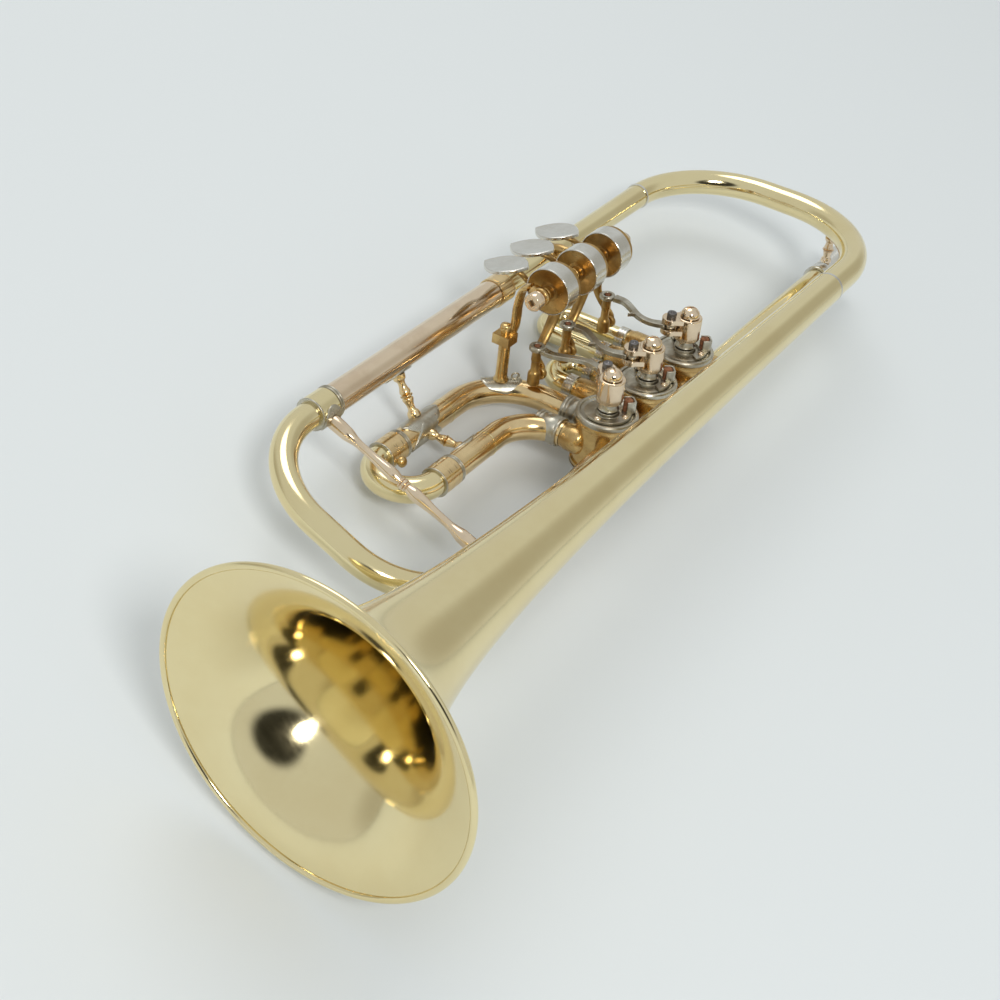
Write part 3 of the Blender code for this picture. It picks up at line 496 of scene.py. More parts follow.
@dataclass(frozen=True)
class Metal:
    """A metal finish.

    Attributes:
        slot: Name of the record's material slot that it belongs to; not used.
        clean: Colour where it is bright.
        dull: Colour where it has tarnished.
        amount: How much of it has tarnished, 0 to 1.
        size: How small the clouds of tarnish are.
        base: Lowest roughness.
        spread: How much the fine scratches add to it.
        relief: Strength of the unevenness.
        metallic: 1 for metal.
    """

    slot: str
    clean: Colour
    dull: Colour
    amount: float
    size: float
    base: float
    spread: float
    relief: float = 0.05
    metallic: float = 1.0

    def material(self, name: str, groups: dict[str, bpy.types.NodeTree]) -> bpy.types.Material:
        """Make the material.

        Args:
            name: Name of the material.
            groups: The shared node groups by name.

        Returns:
            The material.
        """
        material = bpy.data.materials.new(name)
        material.use_nodes = True
        nodes, links = material.node_tree.nodes, material.node_tree.links
        shader = nodes["Principled BSDF"]
        shader.inputs["Metallic"].default_value = self.metallic
        stain = nodes.new("ShaderNodeGroup")
        stain.node_tree = groups["tarnish"]
        stain.inputs["Clean"].default_value = (*self.clean, 1.0)
        stain.inputs["Dull"].default_value = (*self.dull, 1.0)
        stain.inputs["Amount"].default_value = self.amount
        stain.inputs["Size"].default_value = self.size
        marks = nodes.new("ShaderNodeGroup")
        marks.node_tree = groups["handling"]
        marks.inputs["Base"].default_value = self.base
        marks.inputs["Spread"].default_value = self.spread
        dim = nodes.new("ShaderNodeMath")
        dim.operation = 'MULTIPLY_ADD'
        dim.inputs[1].default_value = 0.18
        links.new(stain.outputs["Mask"], dim.inputs[0])
        links.new(marks.outputs["Roughness"], dim.inputs[2])
        bump = nodes.new("ShaderNodeBump")
        bump.inputs["Strength"].default_value = self.relief
        bump.inputs["Distance"].default_value = 0.0004
        links.new(marks.outputs["Height"], bump.inputs["Height"])
        links.new(stain.outputs["Colour"], shader.inputs["Base Color"])
        links.new(dim.outputs["Value"], shader.inputs["Roughness"])
        links.new(bump.outputs["Normal"], shader.inputs["Normal"])
        return material


FINISHES: dict[Finish, Metal] = {
    Finish.BRASS: Metal("polished_brass", (0.87, 0.75, 0.44), (0.72, 0.56, 0.27), 0.24, 22.0, 0.07, 0.08,
                        0.05),
    Finish.GOLD: Metal("aged_brass", (0.84, 0.64, 0.35), (0.48, 0.30, 0.11), 0.38, 60.0, 0.08, 0.12, 0.06),
    Finish.OLD_BRASS: Metal("aged_brass", (0.72, 0.51, 0.22), (0.30, 0.16, 0.05), 0.55, 90.0, 0.13, 0.17,
                            0.10),
    Finish.AMBER: Metal("aged_brass", (0.56, 0.36, 0.13), (0.22, 0.12, 0.035), 0.60, 130.0, 0.20, 0.16, 0.10),
    Finish.ROSE: Metal("rose_brass", (0.85, 0.69, 0.50), (0.58, 0.42, 0.26), 0.32, 45.0, 0.09, 0.11, 0.06),
    Finish.NICKEL: Metal("nickel_silver", (0.74, 0.72, 0.66), (0.46, 0.42, 0.34), 0.30, 80.0, 0.13, 0.12,
                         0.06),
    Finish.WORN_NICKEL: Metal("nickel_silver", (0.56, 0.53, 0.44), (0.24, 0.19, 0.12), 0.60, 120.0, 0.18,
                              0.18, 0.10),
    Finish.DARK_STEEL: Metal("aged_brass", (0.22, 0.21, 0.21), (0.08, 0.07, 0.06), 0.60, 200.0, 0.20, 0.15,
                             0.08),
    Finish.CORK: Metal("bumper_cork", (0.30, 0.12, 0.05), (0.10, 0.04, 0.02), 0.80, 700.0, 0.70, 0.25, 0.60,
                       0.0),
}


class Shop:
    """Turns forms into finished pieces that ride on the frame's bodies."""

    def __init__(self, axes: Axes) -> None:
        """Make the finishes.

        Args:
            axes: The instrument's axes.
        """
        self.axes = axes
        groups = {"tarnish": NodeGroups.tarnish(), "handling": NodeGroups.handling()}
        self.materials = {finish: metal.material(finish.name.lower(), groups) for finish,
                          metal in FINISHES.items()}

    def piece(self, form: Form, name: str, finish: Finish, body: str, stands_for: Sequence[str] = (),
              edge: float = 0.0, crease: float = 35.0) -> bpy.types.Object:
        """Finish a form as one piece of the instrument.

        Args:
            form: The form.
            name: Name of the piece.
            finish: Its finish.
            body: Body that it rides on.
            stands_for: Nodes of the frame that it takes the place of.
            edge: Width of its rounded edges in millimetres.
            crease: Angle in degrees above which an edge stays sharp.

        Returns:
            The piece.
        """
        bmesh.ops.recalc_face_normals(form.mesh, faces=form.mesh.faces)
        for vertex in form.mesh.verts:
            vertex.co = self.axes.point(vertex.co)
        mesh = bpy.data.meshes.new(name)
        form.mesh.to_mesh(mesh)
        form.mesh.free()
        mesh.shade_smooth()
        mesh.set_sharp_from_angle(angle=math.radians(crease))
        mesh.materials.append(self.materials[finish])
        obj = bpy.data.objects.new(name, mesh)
        bpy.context.scene.collection.objects.link(obj)
        if edge:
            rounding = obj.modifiers.new("rounded_edges", 'BEVEL')
            rounding.width = edge * MM
            rounding.segments = 2
            rounding.limit_method = 'ANGLE'
            rounding.angle_limit = math.radians(crease)
            rounding.harden_normals = False
        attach(obj, body)
        if stands_for:
            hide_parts(*stands_for)
        LOG.info("%s rides on %s", name, body)
        return obj

    def dress(self, node: str, finish: Finish) -> None:
        """Give a node of the frame that stays visible a finish."""
        slots = frame["nodes"][node].material_slots
        for slot in slots:
            slot.material = self.materials[finish]
        LOG.info("%s keeps its own shape", node)


def turned_brace(length: float, radius: float, waist: float = 0.5, bead: float = 1.1) -> list[tuple[float,
                                                                                                    float]]:
    """Outline of a turned brace: stout ends, slim necks and a swelling to a ringed bead in the middle.

    Args:
        length: Length of the brace.
        radius: Radius of its stout ends.
        waist: Radius of the neck, as a share of the ends.
        bead: Radius of the bead, as a share of the ends.

    Returns:
        The outline as (radius, height) pairs.
    """
    neck = waist * 1.1
    swell = smooth_profile([(0.95, 0.08), (0.88, 0.115), (neck + 0.06, 0.165), (neck, 0.22),
                            (neck + 0.06, 0.30), (0.8, 0.38), (0.84, 0.425), (0.7, 0.455), (neck, 0.474)], 4)
    ring = [(neck + 0.1, 0.477), (bead * 0.9, 0.4795), (bead * 0.9, 0.486), (bead * 0.72, 0.4885),
            (bead * 0.94, 0.492), (bead * 0.96, 0.499)]
    half = [(0.0, 0.0), (0.97, 0.0), (1.0, 0.004), (0.97, 0.06)] + swell + ring
    outline = [(r * radius, h * length) for r, h in half]
    return outline + [(r, length - h) for r, h in reversed(outline)]


@dataclass
class Bell:
    """The bell: one spun wall from the rolled rim to the tail."""

    radius: float = 65.0
    throat: float = 11.2
    flare: float = 0.6
    length: float = 398.0
    bead: float = 1.3
    wall: float = 0.6
    depth: float = 60.0

    def outer(self, u: float) -> float:
        """Outer radius at a distance from the rim."""
        return self.radius * (self.throat / (u + self.throat)) ** self.flare

    def build(self, shop: Shop) -> None:
        """Build the wall with its rolled rim, outside and inside in one piece."""
        stations = 110
        ratio = ((self.length + self.throat) / self.throat) ** (1 / stations)
        places = [self.throat * (ratio ** i - 1) for i in range(stations + 1)]
        outside = [(self.outer(u), u) for u in reversed(places[1:])]
        inside = []
        for u in places[1:]:
            slope = -self.flare * self.outer(u) / (u + self.throat)
            out = 1.0 / math.hypot(slope, 1.0)
            inside.append((self.outer(u) - self.wall * out, u + self.wall * slope * out))
        centre = self.radius - self.bead
        rim = []
        for i in range(13):
            t = math.radians(-40.0 + 20.0 * i)
            rim.append((centre + self.bead * math.cos(t), -self.bead * math.sin(t)))
        form = Form().spin(outside + rim + inside, Vector((0, 0, 0)), U, 160, closed=True)
        shop.piece(form, "bell_wall", Finish.BRASS, "frame", ["bell"], crease=60.0)


@dataclass
class BodyTubes:
    """The tubes soldered to the body: back bow, outer slide tubes, mouthpipe and receiver."""

    side_v: float = 117.0
    back_u: float = 468.0
    far_corner: float = 50.0
    bell_corner: float = 52.0
    start_radius: float = 5.3
    end_radius: float = 7.1
    joint_u: float = 290.0
    tail_u: float = 398.0
    outer_radius: float = 6.5
    outer_start: float = 159.0
    wall: float = 0.6
    main_v: float = 26.0
    main_w: float = -28.0
    slide_v: float = 28.5
    slide_w: float = -34.5
    knuckle_u: float = 234.0
    bend_u: float = 208.0
    pipe_start: float = 339.5
    pipe_radius: float = 5.6
    receiver_u: float = 452.0
    receiver_length: float = 34.0
    receiver_radius: float = 7.0
    socket_radius: float = 5.1

    def build(self, shop: Shop) -> None:
        """Build every tube and ring."""
        self.build_back_bow(shop)
        self.build_outer_tubes(shop)
        self.build_mouthpipe(shop)
        self.build_corner_brace(shop)

    def build_back_bow(self, shop: Shop) -> None:
        """The bow behind the valves, with its joint ring and the ring at the bell's tail."""
        near = Vector((self.back_u - self.far_corner, self.side_v - self.far_corner, 0))
        far = Vector((self.back_u - self.bell_corner, self.bell_corner, 0))
        path = [Vector((self.joint_u + GAP, self.side_v, 0)), Vector((350, self.side_v, 0)),
                Vector((400, self.side_v, 0))]
        path += arc(near, V, U, self.far_corner, 28)
        path += arc(far, U, -V, self.bell_corner, 28)
        path.append(Vector((self.tail_u + GAP, 0, 0)))
        radii = blend_radii(path, self.start_radius, self.end_radius)
        shop.piece(Form().sweep(path, radii, 48, self.wall), "back_bow_tube", Finish.BRASS, "frame",
                   ["back_bow"], crease=60.0)
        ring = Form()
        for u, radius in ((350.0, 5.75), (self.back_u - self.far_corner + 4.0, 6.3)):
            ring.spin([(radius - 0.6, 0.0), (radius + 0.15, 0.1), (radius + 0.25, 0.7), (radius + 0.15, 1.3),
                       (radius - 0.6, 1.4)], Vector((u - 6.0, self.side_v, 0)), U, 48, closed=True)
        ring.spin([(self.end_radius, 0.0), (self.end_radius + 0.5, 0.2), (self.end_radius + 0.5, 1.6),
                   (self.end_radius, 1.8)], Vector((self.tail_u - 1.0, 0, 0)), U, 48, closed=True)
        shop.piece(ring, "back_bow_rings", Finish.NICKEL, "frame", crease=50.0)
        joint = grooves(self.outer_radius + 0.65, 10.0, (1.0, 8.8), 0.3)
        joint += [(self.outer_radius + 0.1, 10.0), (self.outer_radius + 0.1, 0.0)]
        shop.piece(Form().spin(joint, Vector((self.joint_u - 9.0, self.side_v, 0)), U, 56, closed=True),
                   "back_bow_joint_ring", Finish.GOLD, "frame", ["back_bow_ferrule"])

    def build_outer_tubes(self, shop: Shop) -> None:
        """The tuning slide's two outer tubes, with a nickel bead ring at the front of each."""
        start = Vector((self.outer_start, self.side_v, 0))
        left = Form().sweep([start, start + U * 60, Vector((self.joint_u - 4.0, self.side_v, 0))],
                            self.outer_radius, 48, self.wall)
        shop.piece(left, "tuning_tube_left", Finish.ROSE, "frame", ["tuning_outer_left"], crease=60.0)
        low = Vector((self.outer_start, self.slide_v, self.slide_w))
        high = Vector((self.knuckle_u - GAP, self.main_v, self.main_w))
        bends = [low, low + U * 20, Vector((self.bend_u - 4.0, self.slide_v, self.slide_w)),
                 Vector((self.bend_u + 4.0, *low.lerp(high, 0.25).yz)),
                 Vector((self.knuckle_u - 8.0, *low.lerp(high, 0.85).yz)), high]
        shop.piece(Form().sweep(smooth(bends, 6), self.outer_radius, 40, self.wall), "tuning_tube_right",
                   Finish.ROSE, "frame", ["tuning_outer_right"], crease=60.0)
        rings = Form()
        profile = bead_ring(self.outer_radius, 0.95, 1.25, 2)
        for at in (start, low):
            rings.spin(profile + [(self.outer_radius - 0.3, 2.5), (self.outer_radius - 0.3, 0.0)], at, U,
                       56, closed=True)
        shop.piece(rings, "tuning_tube_rings", Finish.WORN_NICKEL, "frame", crease=50.0)

    def build_mouthpipe(self, shop: Shop) -> None:
        """The mouthpipe from the first valve to the receiver."""
        at = Vector((self.pipe_start + GAP, self.main_v, self.main_w))
        end = Vector((self.receiver_u - GAP, self.main_v, self.main_w))
        shop.piece(Form().sweep([at, at.lerp(end, 0.5), end], self.pipe_radius, 40, self.wall), "mouthpipe",
                   Finish.BRASS, "frame", ["leadpipe"], crease=60.0)
        thick, slim = self.receiver_radius, self.receiver_radius - 0.7
        outline = [(self.pipe_radius - 1.2, 0.0), (thick - 0.3, 0.0), (thick, 0.4), (thick, 1.6), (slim, 2.4)]
        outline += [(slim, 8.0), (slim - 0.15, 8.3), (slim, 8.6)]
        outline += [(slim, self.receiver_length - 4.6), (thick, self.receiver_length - 3.6),
                    (thick, self.receiver_length - 0.5), (thick - 0.4, self.receiver_length),
                    (self.socket_radius, self.receiver_length), (self.socket_radius - 0.4, 8.0)]
        shop.piece(Form().spin(outline, Vector((self.receiver_u, self.main_v, self.main_w)), U, 56,
                               closed=True),
                   "receiver", Finish.NICKEL, "frame", ["mouthpiece_receiver"], crease=40.0)

    def build_corner_brace(self, shop: Shop) -> None:
        """The turned brace between the back bow and the receiver."""
        top = self.bell_corner - self.main_v
        u = self.back_u - self.bell_corner + math.sqrt(self.bell_corner ** 2 - top ** 2)
        length = -self.main_w - self.end_radius - self.receiver_radius - 2 * GAP
        foot = Vector((u, self.main_v, -self.end_radius - GAP))
        form = Form().spin(turned_brace(length, 2.8, 0.6), foot, -W, 32)
        shop.piece(form, "corner_brace_turned", Finish.ROSE, "frame", ["corner_brace"], crease=40.0)


@dataclass
class TuningSlide:
    """The front bow, its two legs and ferrules, and the long brace between them."""

    u: float = 147.0
    left: Vector = Vector((147.0, 117.0, 0.0))
    right: Vector = Vector((147.0, 28.5, -34.5))
    radius: float = 5.9
    corner: float = 38.0
    reach: float = 40.5
    leg_radius: float = 5.4
    leg_end: float = 208.0
    ferrule_radius: float = 7.3
    ferrule_end: float = 11.7
    wall: float = 0.6

    def build(self, shop: Shop) -> None:
        """Build the slide."""
        body = "tuning_slide"
        across = (self.left - self.right).normalized()
        inward, ahead = across * self.corner, U * (self.corner - self.reach)
        bow = arc(self.left - inward + ahead, across, -U, self.corner, 24)
        bow += arc(self.right + inward + ahead, -U, -across, self.corner, 24)
        reach = U * (self.leg_end - self.u)
        path = [self.left + reach, self.left + U * 4.2, self.left + U * 4.0, *bow, self.right + U * 4.0,
                self.right + U * 4.2, self.right + reach]
        radii = [self.leg_radius] * 2 + [self.radius] * (len(path) - 4) + [self.leg_radius] * 2
        shop.piece(Form().sweep(path, radii, 48, self.wall), "front_bow_tube", Finish.BRASS, body,
                   ["tuning_bow"], crease=50.0)
        for side, at in (("left", self.left), ("right", self.right)):
            outline = grooves(self.ferrule_radius, self.ferrule_end - 1.0, ())
            outline += [(self.radius + 0.1, self.ferrule_end - 1.0), (self.radius + 0.1, 0.0)]
            shop.piece(Form().spin(outline, at + U, U, 56, closed=True), "front_ferrule_" + side,
                       Finish.BRASS, body, ["tuning_ferrule_" + side], crease=40.0)
        rings = Form()
        for at in (self.left, self.right):
            rings.spin([(self.radius, 0.1), *bead_ring(self.ferrule_radius - 0.25, 0.42, 0.9),
                        (self.radius, 0.8)],
                       at + U * 0.3, U, 56, closed=True)
        mid = U * (self.ferrule_end / 2 + 0.6)
        saddle = [(x, y) for x, y in superellipse(5.4, 7.4, 2.0)]
        rings.wrap(saddle, self.left + mid, U, -across, self.ferrule_radius, 0.7)
        rings.wrap(saddle, self.right + mid, U, across, self.ferrule_radius, 0.7)
        shop.piece(rings, "front_ferrule_rings", Finish.WORN_NICKEL, body, crease=50.0)
        start = self.left + mid - across * (self.ferrule_radius + 0.3)
        length = (self.left - self.right).length - 2 * (self.ferrule_radius + 0.3)
        shop.piece(Form().spin(turned_brace(length, 3.3, 0.5, 0.82), start, -across, 48), "long_brace",
                   Finish.ROSE, body, ["tuning_brace"], crease=40.0)


@dataclass
class ValveBlock:
    """Three rotary valves in a row, with their stop work."""

    rotor_u: tuple[float, float, float] = (322.0, 287.0, 252.0)
    v: float = 35.0
    w: float = -28.0
    pitch: float = 35.0
    casing_radius: float = 13.0
    bore: float = 9.7
    half_height: float = 11.5
    cap_radius: float = 13.9
    cap_thickness: float = 2.6
    spindle_radius: float = 2.4
    port_offset: float = 9.0
    knuckle_radius: float = 5.8
    front_stub: float = 18.0
    slide_reach: tuple[float, float, float] = (33.0, 29.5, 14.5)
    barrel_radius: float = 5.9
    barrel_low: float = 16.0
    barrel_height: float = 15.3
    crank_angle: tuple[float, float, float] = (135.0, 135.0, 46.0)
    crank_radius: float = 8.8
    eye_radius: float = 4.2
    cheek: float = 2.5
    link_room: float = 3.0

    def build(self, shop: Shop) -> None:
        """Build the three valves."""
        for number in (1, 2, 3):
            centre = Vector((self.rotor_u[number - 1], self.v, self.w))
            self.build_casing(shop, number, centre)
            self.build_caps(shop, number, centre)
            self.build_stop_arm(shop, number, centre)
            shop.dress("rotor_%d" % number, Finish.WORN_NICKEL)

    def build_casing(self, shop: Shop, number: int, centre: Vector) -> None:
        """The casing with its shoulders, and the stubs that its tubes are soldered to."""
        half, r = self.half_height, self.casing_radius
        form = Form()
        main = centre - V * self.port_offset
        front = self.front_stub if number == 3 else self.pitch / 2 - GAP / 2
        start = math.sqrt(r ** 2 - self.port_offset ** 2) - 2.2
        reach = self.slide_reach[number - 1]
        stubs = [(main, -U, front), (main, U, self.pitch / 2 - GAP / 2),
                 (centre - U * self.port_offset, V, reach), (centre + U * self.port_offset, V, reach)]
        for at, way, end in stubs:
            size = self.knuckle_radius
            turns = [math.pi / 2 * k / 8 for k in range(9)]
            cup = [((size + 0.5) * math.sin(t), start - (size - 1.2) * math.cos(t)) for t in turns]
            inside = [((size - 0.6) * math.sin(t),
                       start - (size - 2.0) * math.cos(t)) for t in reversed(turns)]
            tube = cup + [(size + 0.5, end - 2.4), (size + 0.1, end - 1.6), (size, end),
                          (size - 0.6, end)] + inside
            form.spin(tube, at, way, 40)
        clear = self.bore + 0.2
        for vertex in form.mesh.verts:
            out = vertex.co - centre
            out.z = 0.0
            if out.length < clear:
                vertex.co += out.normalized() * (clear - out.length)
        outline = [(self.bore, -half), (r + 0.7, -half), (r + 0.8, -half + 0.2), (r + 0.8, -half + 1.6),
                   (r, -half + 1.9),
                   (r, half - 2.6), (r + 0.4, half - 2.2), (r + 0.4, half - 0.3), (r + 0.2, half),
                   (self.bore, half)]
        form.spin(outline, centre, W, 72, closed=True)
        shop.piece(form, "casing_%d" % number, Finish.OLD_BRASS, "frame", ["valve_casing_%d" % number],
                   edge=0.12)

    def build_caps(self, shop: Shop, number: int, centre: Vector) -> None:
        """Bearing cap with its raised rim, stop plate, two screws and corks, and the bottom cap."""
        low, r = self.half_height + GAP, self.cap_radius
        top = low + self.cap_thickness
        hole = self.spindle_radius + GAP
        outline = [(hole, low), (r - 0.2, low), (r, low + 0.3), (r, top - 0.9), (r - 0.5, top - 0.2),
                   (r - 1.2, top),
                   (r - 1.8, top - 0.2), (r - 2.2, top - 0.75), (r - 3.4, top - 0.8), (r - 3.7, top - 0.95),
                   (r - 4.0, top - 0.8), (hole + 2.6, top - 0.6), (hole + 2.2, top + 0.9), (hole, top + 1.0)]
        form = Form().spin(outline, centre, W, 80, closed=True)
        turn = math.radians(self.crank_angle[number - 1])
        tip = Vector((math.cos(turn), math.sin(turn), 0))
        side = W.cross(tip)
        crescent = [(p.x, p.y) for p in arc(Vector((0, 0, 0)), U, V, 10.6, 20, math.radians(150))]
        crescent += [(p.x, p.y) for p in reversed(arc(Vector((0, 0, 0)), U, V, 7.0, 20, math.radians(150)))]
        spin = Matrix.Rotation(turn + math.radians(105.0), 3, 'Z')
        form.plate(crescent, 1.1, centre + W * (top - 0.1), spin @ U, spin @ V)
        shop.piece(form, "cap_%d" % number, Finish.WORN_NICKEL, "frame", ["valve_cap_%d" % number], edge=0.1)

        screws = Form()
        for degrees in (135.0, 225.0):
            way = Matrix.Rotation(turn + math.radians(degrees), 3, 'Z') @ U
            at = centre + way * 8.8 + W * (top + 0.4)
            screws.spin([(0.0, 1.1), (0.9, 0.9), (1.5, 0.4), (1.6, 0.0), (1.6, -0.8)], at, W, 24)
        shop.piece(screws, "cap_screws_%d" % number, Finish.ROSE, "frame", crease=50.0)

        holder, cork = Form(), Form()
        near = Vector((math.cos(math.radians(-50.0)), math.sin(math.radians(-50.0)), 0))
        for way in {1: (-side, near), 2: (-side, near), 3: (-side,)}[number]:
            across = way.cross(W)
            at = centre + way * (self.barrel_radius + 3.1) + W * (top + 2.4)
            cork.spin([(0.0, 3.0), (1.7, 3.0), (2.1, 2.6), (2.1, -2.7), (0.0, -2.7)], at, W, 28)
            jaw = [(-3.0, -1.2), (-3.0, 2.0), (-2.0, 3.1), (2.0, 3.1), (3.0, 2.0), (3.0, -1.2), (2.3, -1.2),
                   (2.2, 1.6), (1.4, 2.3), (-1.4, 2.3), (-2.2, 1.6), (-2.3, -1.2)]
            holder.plate(jaw, 5.8, at, across, way)
        shop.piece(cork, "cork_%d" % number, Finish.CORK, "frame", ["cork_bumper_%d" % number], crease=50.0)
        shop.piece(holder, "cork_holder_%d" % number, Finish.WORN_NICKEL, "frame", edge=0.15)

        low = -self.half_height - GAP
        bottom = [(0.0, low), (r, low), (r, low - 1.2), (r - 0.7, low - 2.1), (r - 1.6, low - 2.6),
                  (r - 3.0, low - 2.6), (r - 3.5, low - 2.2), (r - 6.0, low - 2.1), (0.0, low - 2.1)]
        shop.piece(Form().spin(bottom, centre, W, 72), "bottom_cap_%d" % number, Finish.NICKEL, "frame",
                   ["valve_bottom_cap_%d" % number])

    def build_stop_arm(self, shop: Shop, number: int, centre: Vector) -> None:
        """The barrel on the spindle with its forked crank, the pin through it and the domed screw."""
        body = "rotor_%d" % number
        r, low = self.barrel_radius, self.barrel_low
        top = low + self.barrel_height
        hole = self.spindle_radius + 0.1
        foot = low + 4.2
        outline = [(0.0, foot - 0.4), (r - 0.5, foot - 0.4), (r - 0.1, foot), (r, foot + 0.3),
                   (r, top - 0.4), (r - 0.4, top), (0.0, top)]
        form = Form().spin(outline, centre, W, 64)
        neck = Form().spin([(hole, low), (4.6, low), (4.8, low + 0.4), (4.2, low + 1.4), (4.1, foot),
                            (0.0, foot), (0.0, foot - 1.0), (hole, foot - 1.0)], centre, W, 56, closed=True)
        shop.piece(neck, "stop_arm_neck_%d" % number, Finish.WORN_NICKEL, body)
        turn = math.radians(self.crank_angle[number - 1])
        tip = Vector((math.cos(turn), math.sin(turn), 0))
        side = W.cross(tip)
        neck = [(2.0, -4.6), (self.crank_radius - 1.0, -self.eye_radius + 0.4)]
        ear = arc(Vector((self.crank_radius, 0, 0)), -V, U, self.eye_radius, 16, math.pi)
        outline_ear = neck + [(p.x, p.y) for p in ear] + [(x, -y) for x, y in reversed(neck)]
        upper = top - 0.2
        lower = upper - self.cheek - self.link_room
        for level in (upper - self.cheek / 2, lower - self.cheek / 2):
            form.plate(outline_ear, self.cheek, centre + W * level, tip, side)
        shop.piece(form, "stop_arm_barrel_%d" % number, Finish.ROSE, body, ["stop_arm_%d" % number],
                   edge=0.18)

        at = centre + tip * self.crank_radius
        pin = [(0.0, top + 2.9), (0.5, top + 2.9), (0.8, top + 2.5), (1.3, top + 2.5), (2.0, top + 2.3),
               (2.2, top + 1.9),
               (2.2, top - 0.1), (1.3, top - 0.2), (1.3, lower - self.cheek - 0.4),
               (0.0, lower - self.cheek - 0.5)]
        shop.piece(Form().spin(pin, at, W, 32), "crank_pin_%d" % number, Finish.DARK_STEEL, body, crease=30.0)

        base = top + GAP
        dome = []
        for i in range(13):
            t = math.pi / 2 * i / 12
            dome.append((4.4 * math.sin(t), base + 0.5 + 3.9 * math.cos(t)))
        dome += [(4.4, base), (0.0, base)]
        screw = Form().spin(dome, centre, W, 64)
        piece = shop.piece(screw, "dome_screw_%d" % number, Finish.ROSE, body, ["stop_screw_%d" % number],
                           crease=50.0)
        slot = Form().block(centre + W * (base + 4.5), Vector((12.0, 0.8, 1.9)), tip, side)
        cut_away(piece, slot, shop.axes)


def cut_away(piece: bpy.types.Object, cutter: Form, axes: Axes) -> None:
    """Cut a form out of a finished piece.

    Args:
        piece: The piece.
        cutter: Form of the cut, in the instrument's axes.
        axes: The instrument's axes.
    """
    bmesh.ops.recalc_face_normals(cutter.mesh, faces=cutter.mesh.faces)
    for vertex in cutter.mesh.verts:
        vertex.co = axes.point(vertex.co)
    mesh = bpy.data.meshes.new("cut")
    cutter.mesh.to_mesh(mesh)
    cutter.mesh.free()
    tool = bpy.data.objects.new("cut", mesh)
    bpy.context.scene.collection.objects.link(tool)
    step = piece.modifiers.new("cut", 'BOOLEAN')
    step.operation = 'DIFFERENCE'
    step.object = tool
    bpy.context.view_layer.update()
    result = bpy.data.meshes.new_from_object(piece.evaluated_get(bpy.context.evaluated_depsgraph_get()))
    piece.modifiers.clear()
    result.shade_smooth()
    result.set_sharp_from_angle(angle=math.radians(40.0))
    piece.data = result
    bpy.data.objects.remove(tool)
    bpy.data.meshes.remove(mesh)


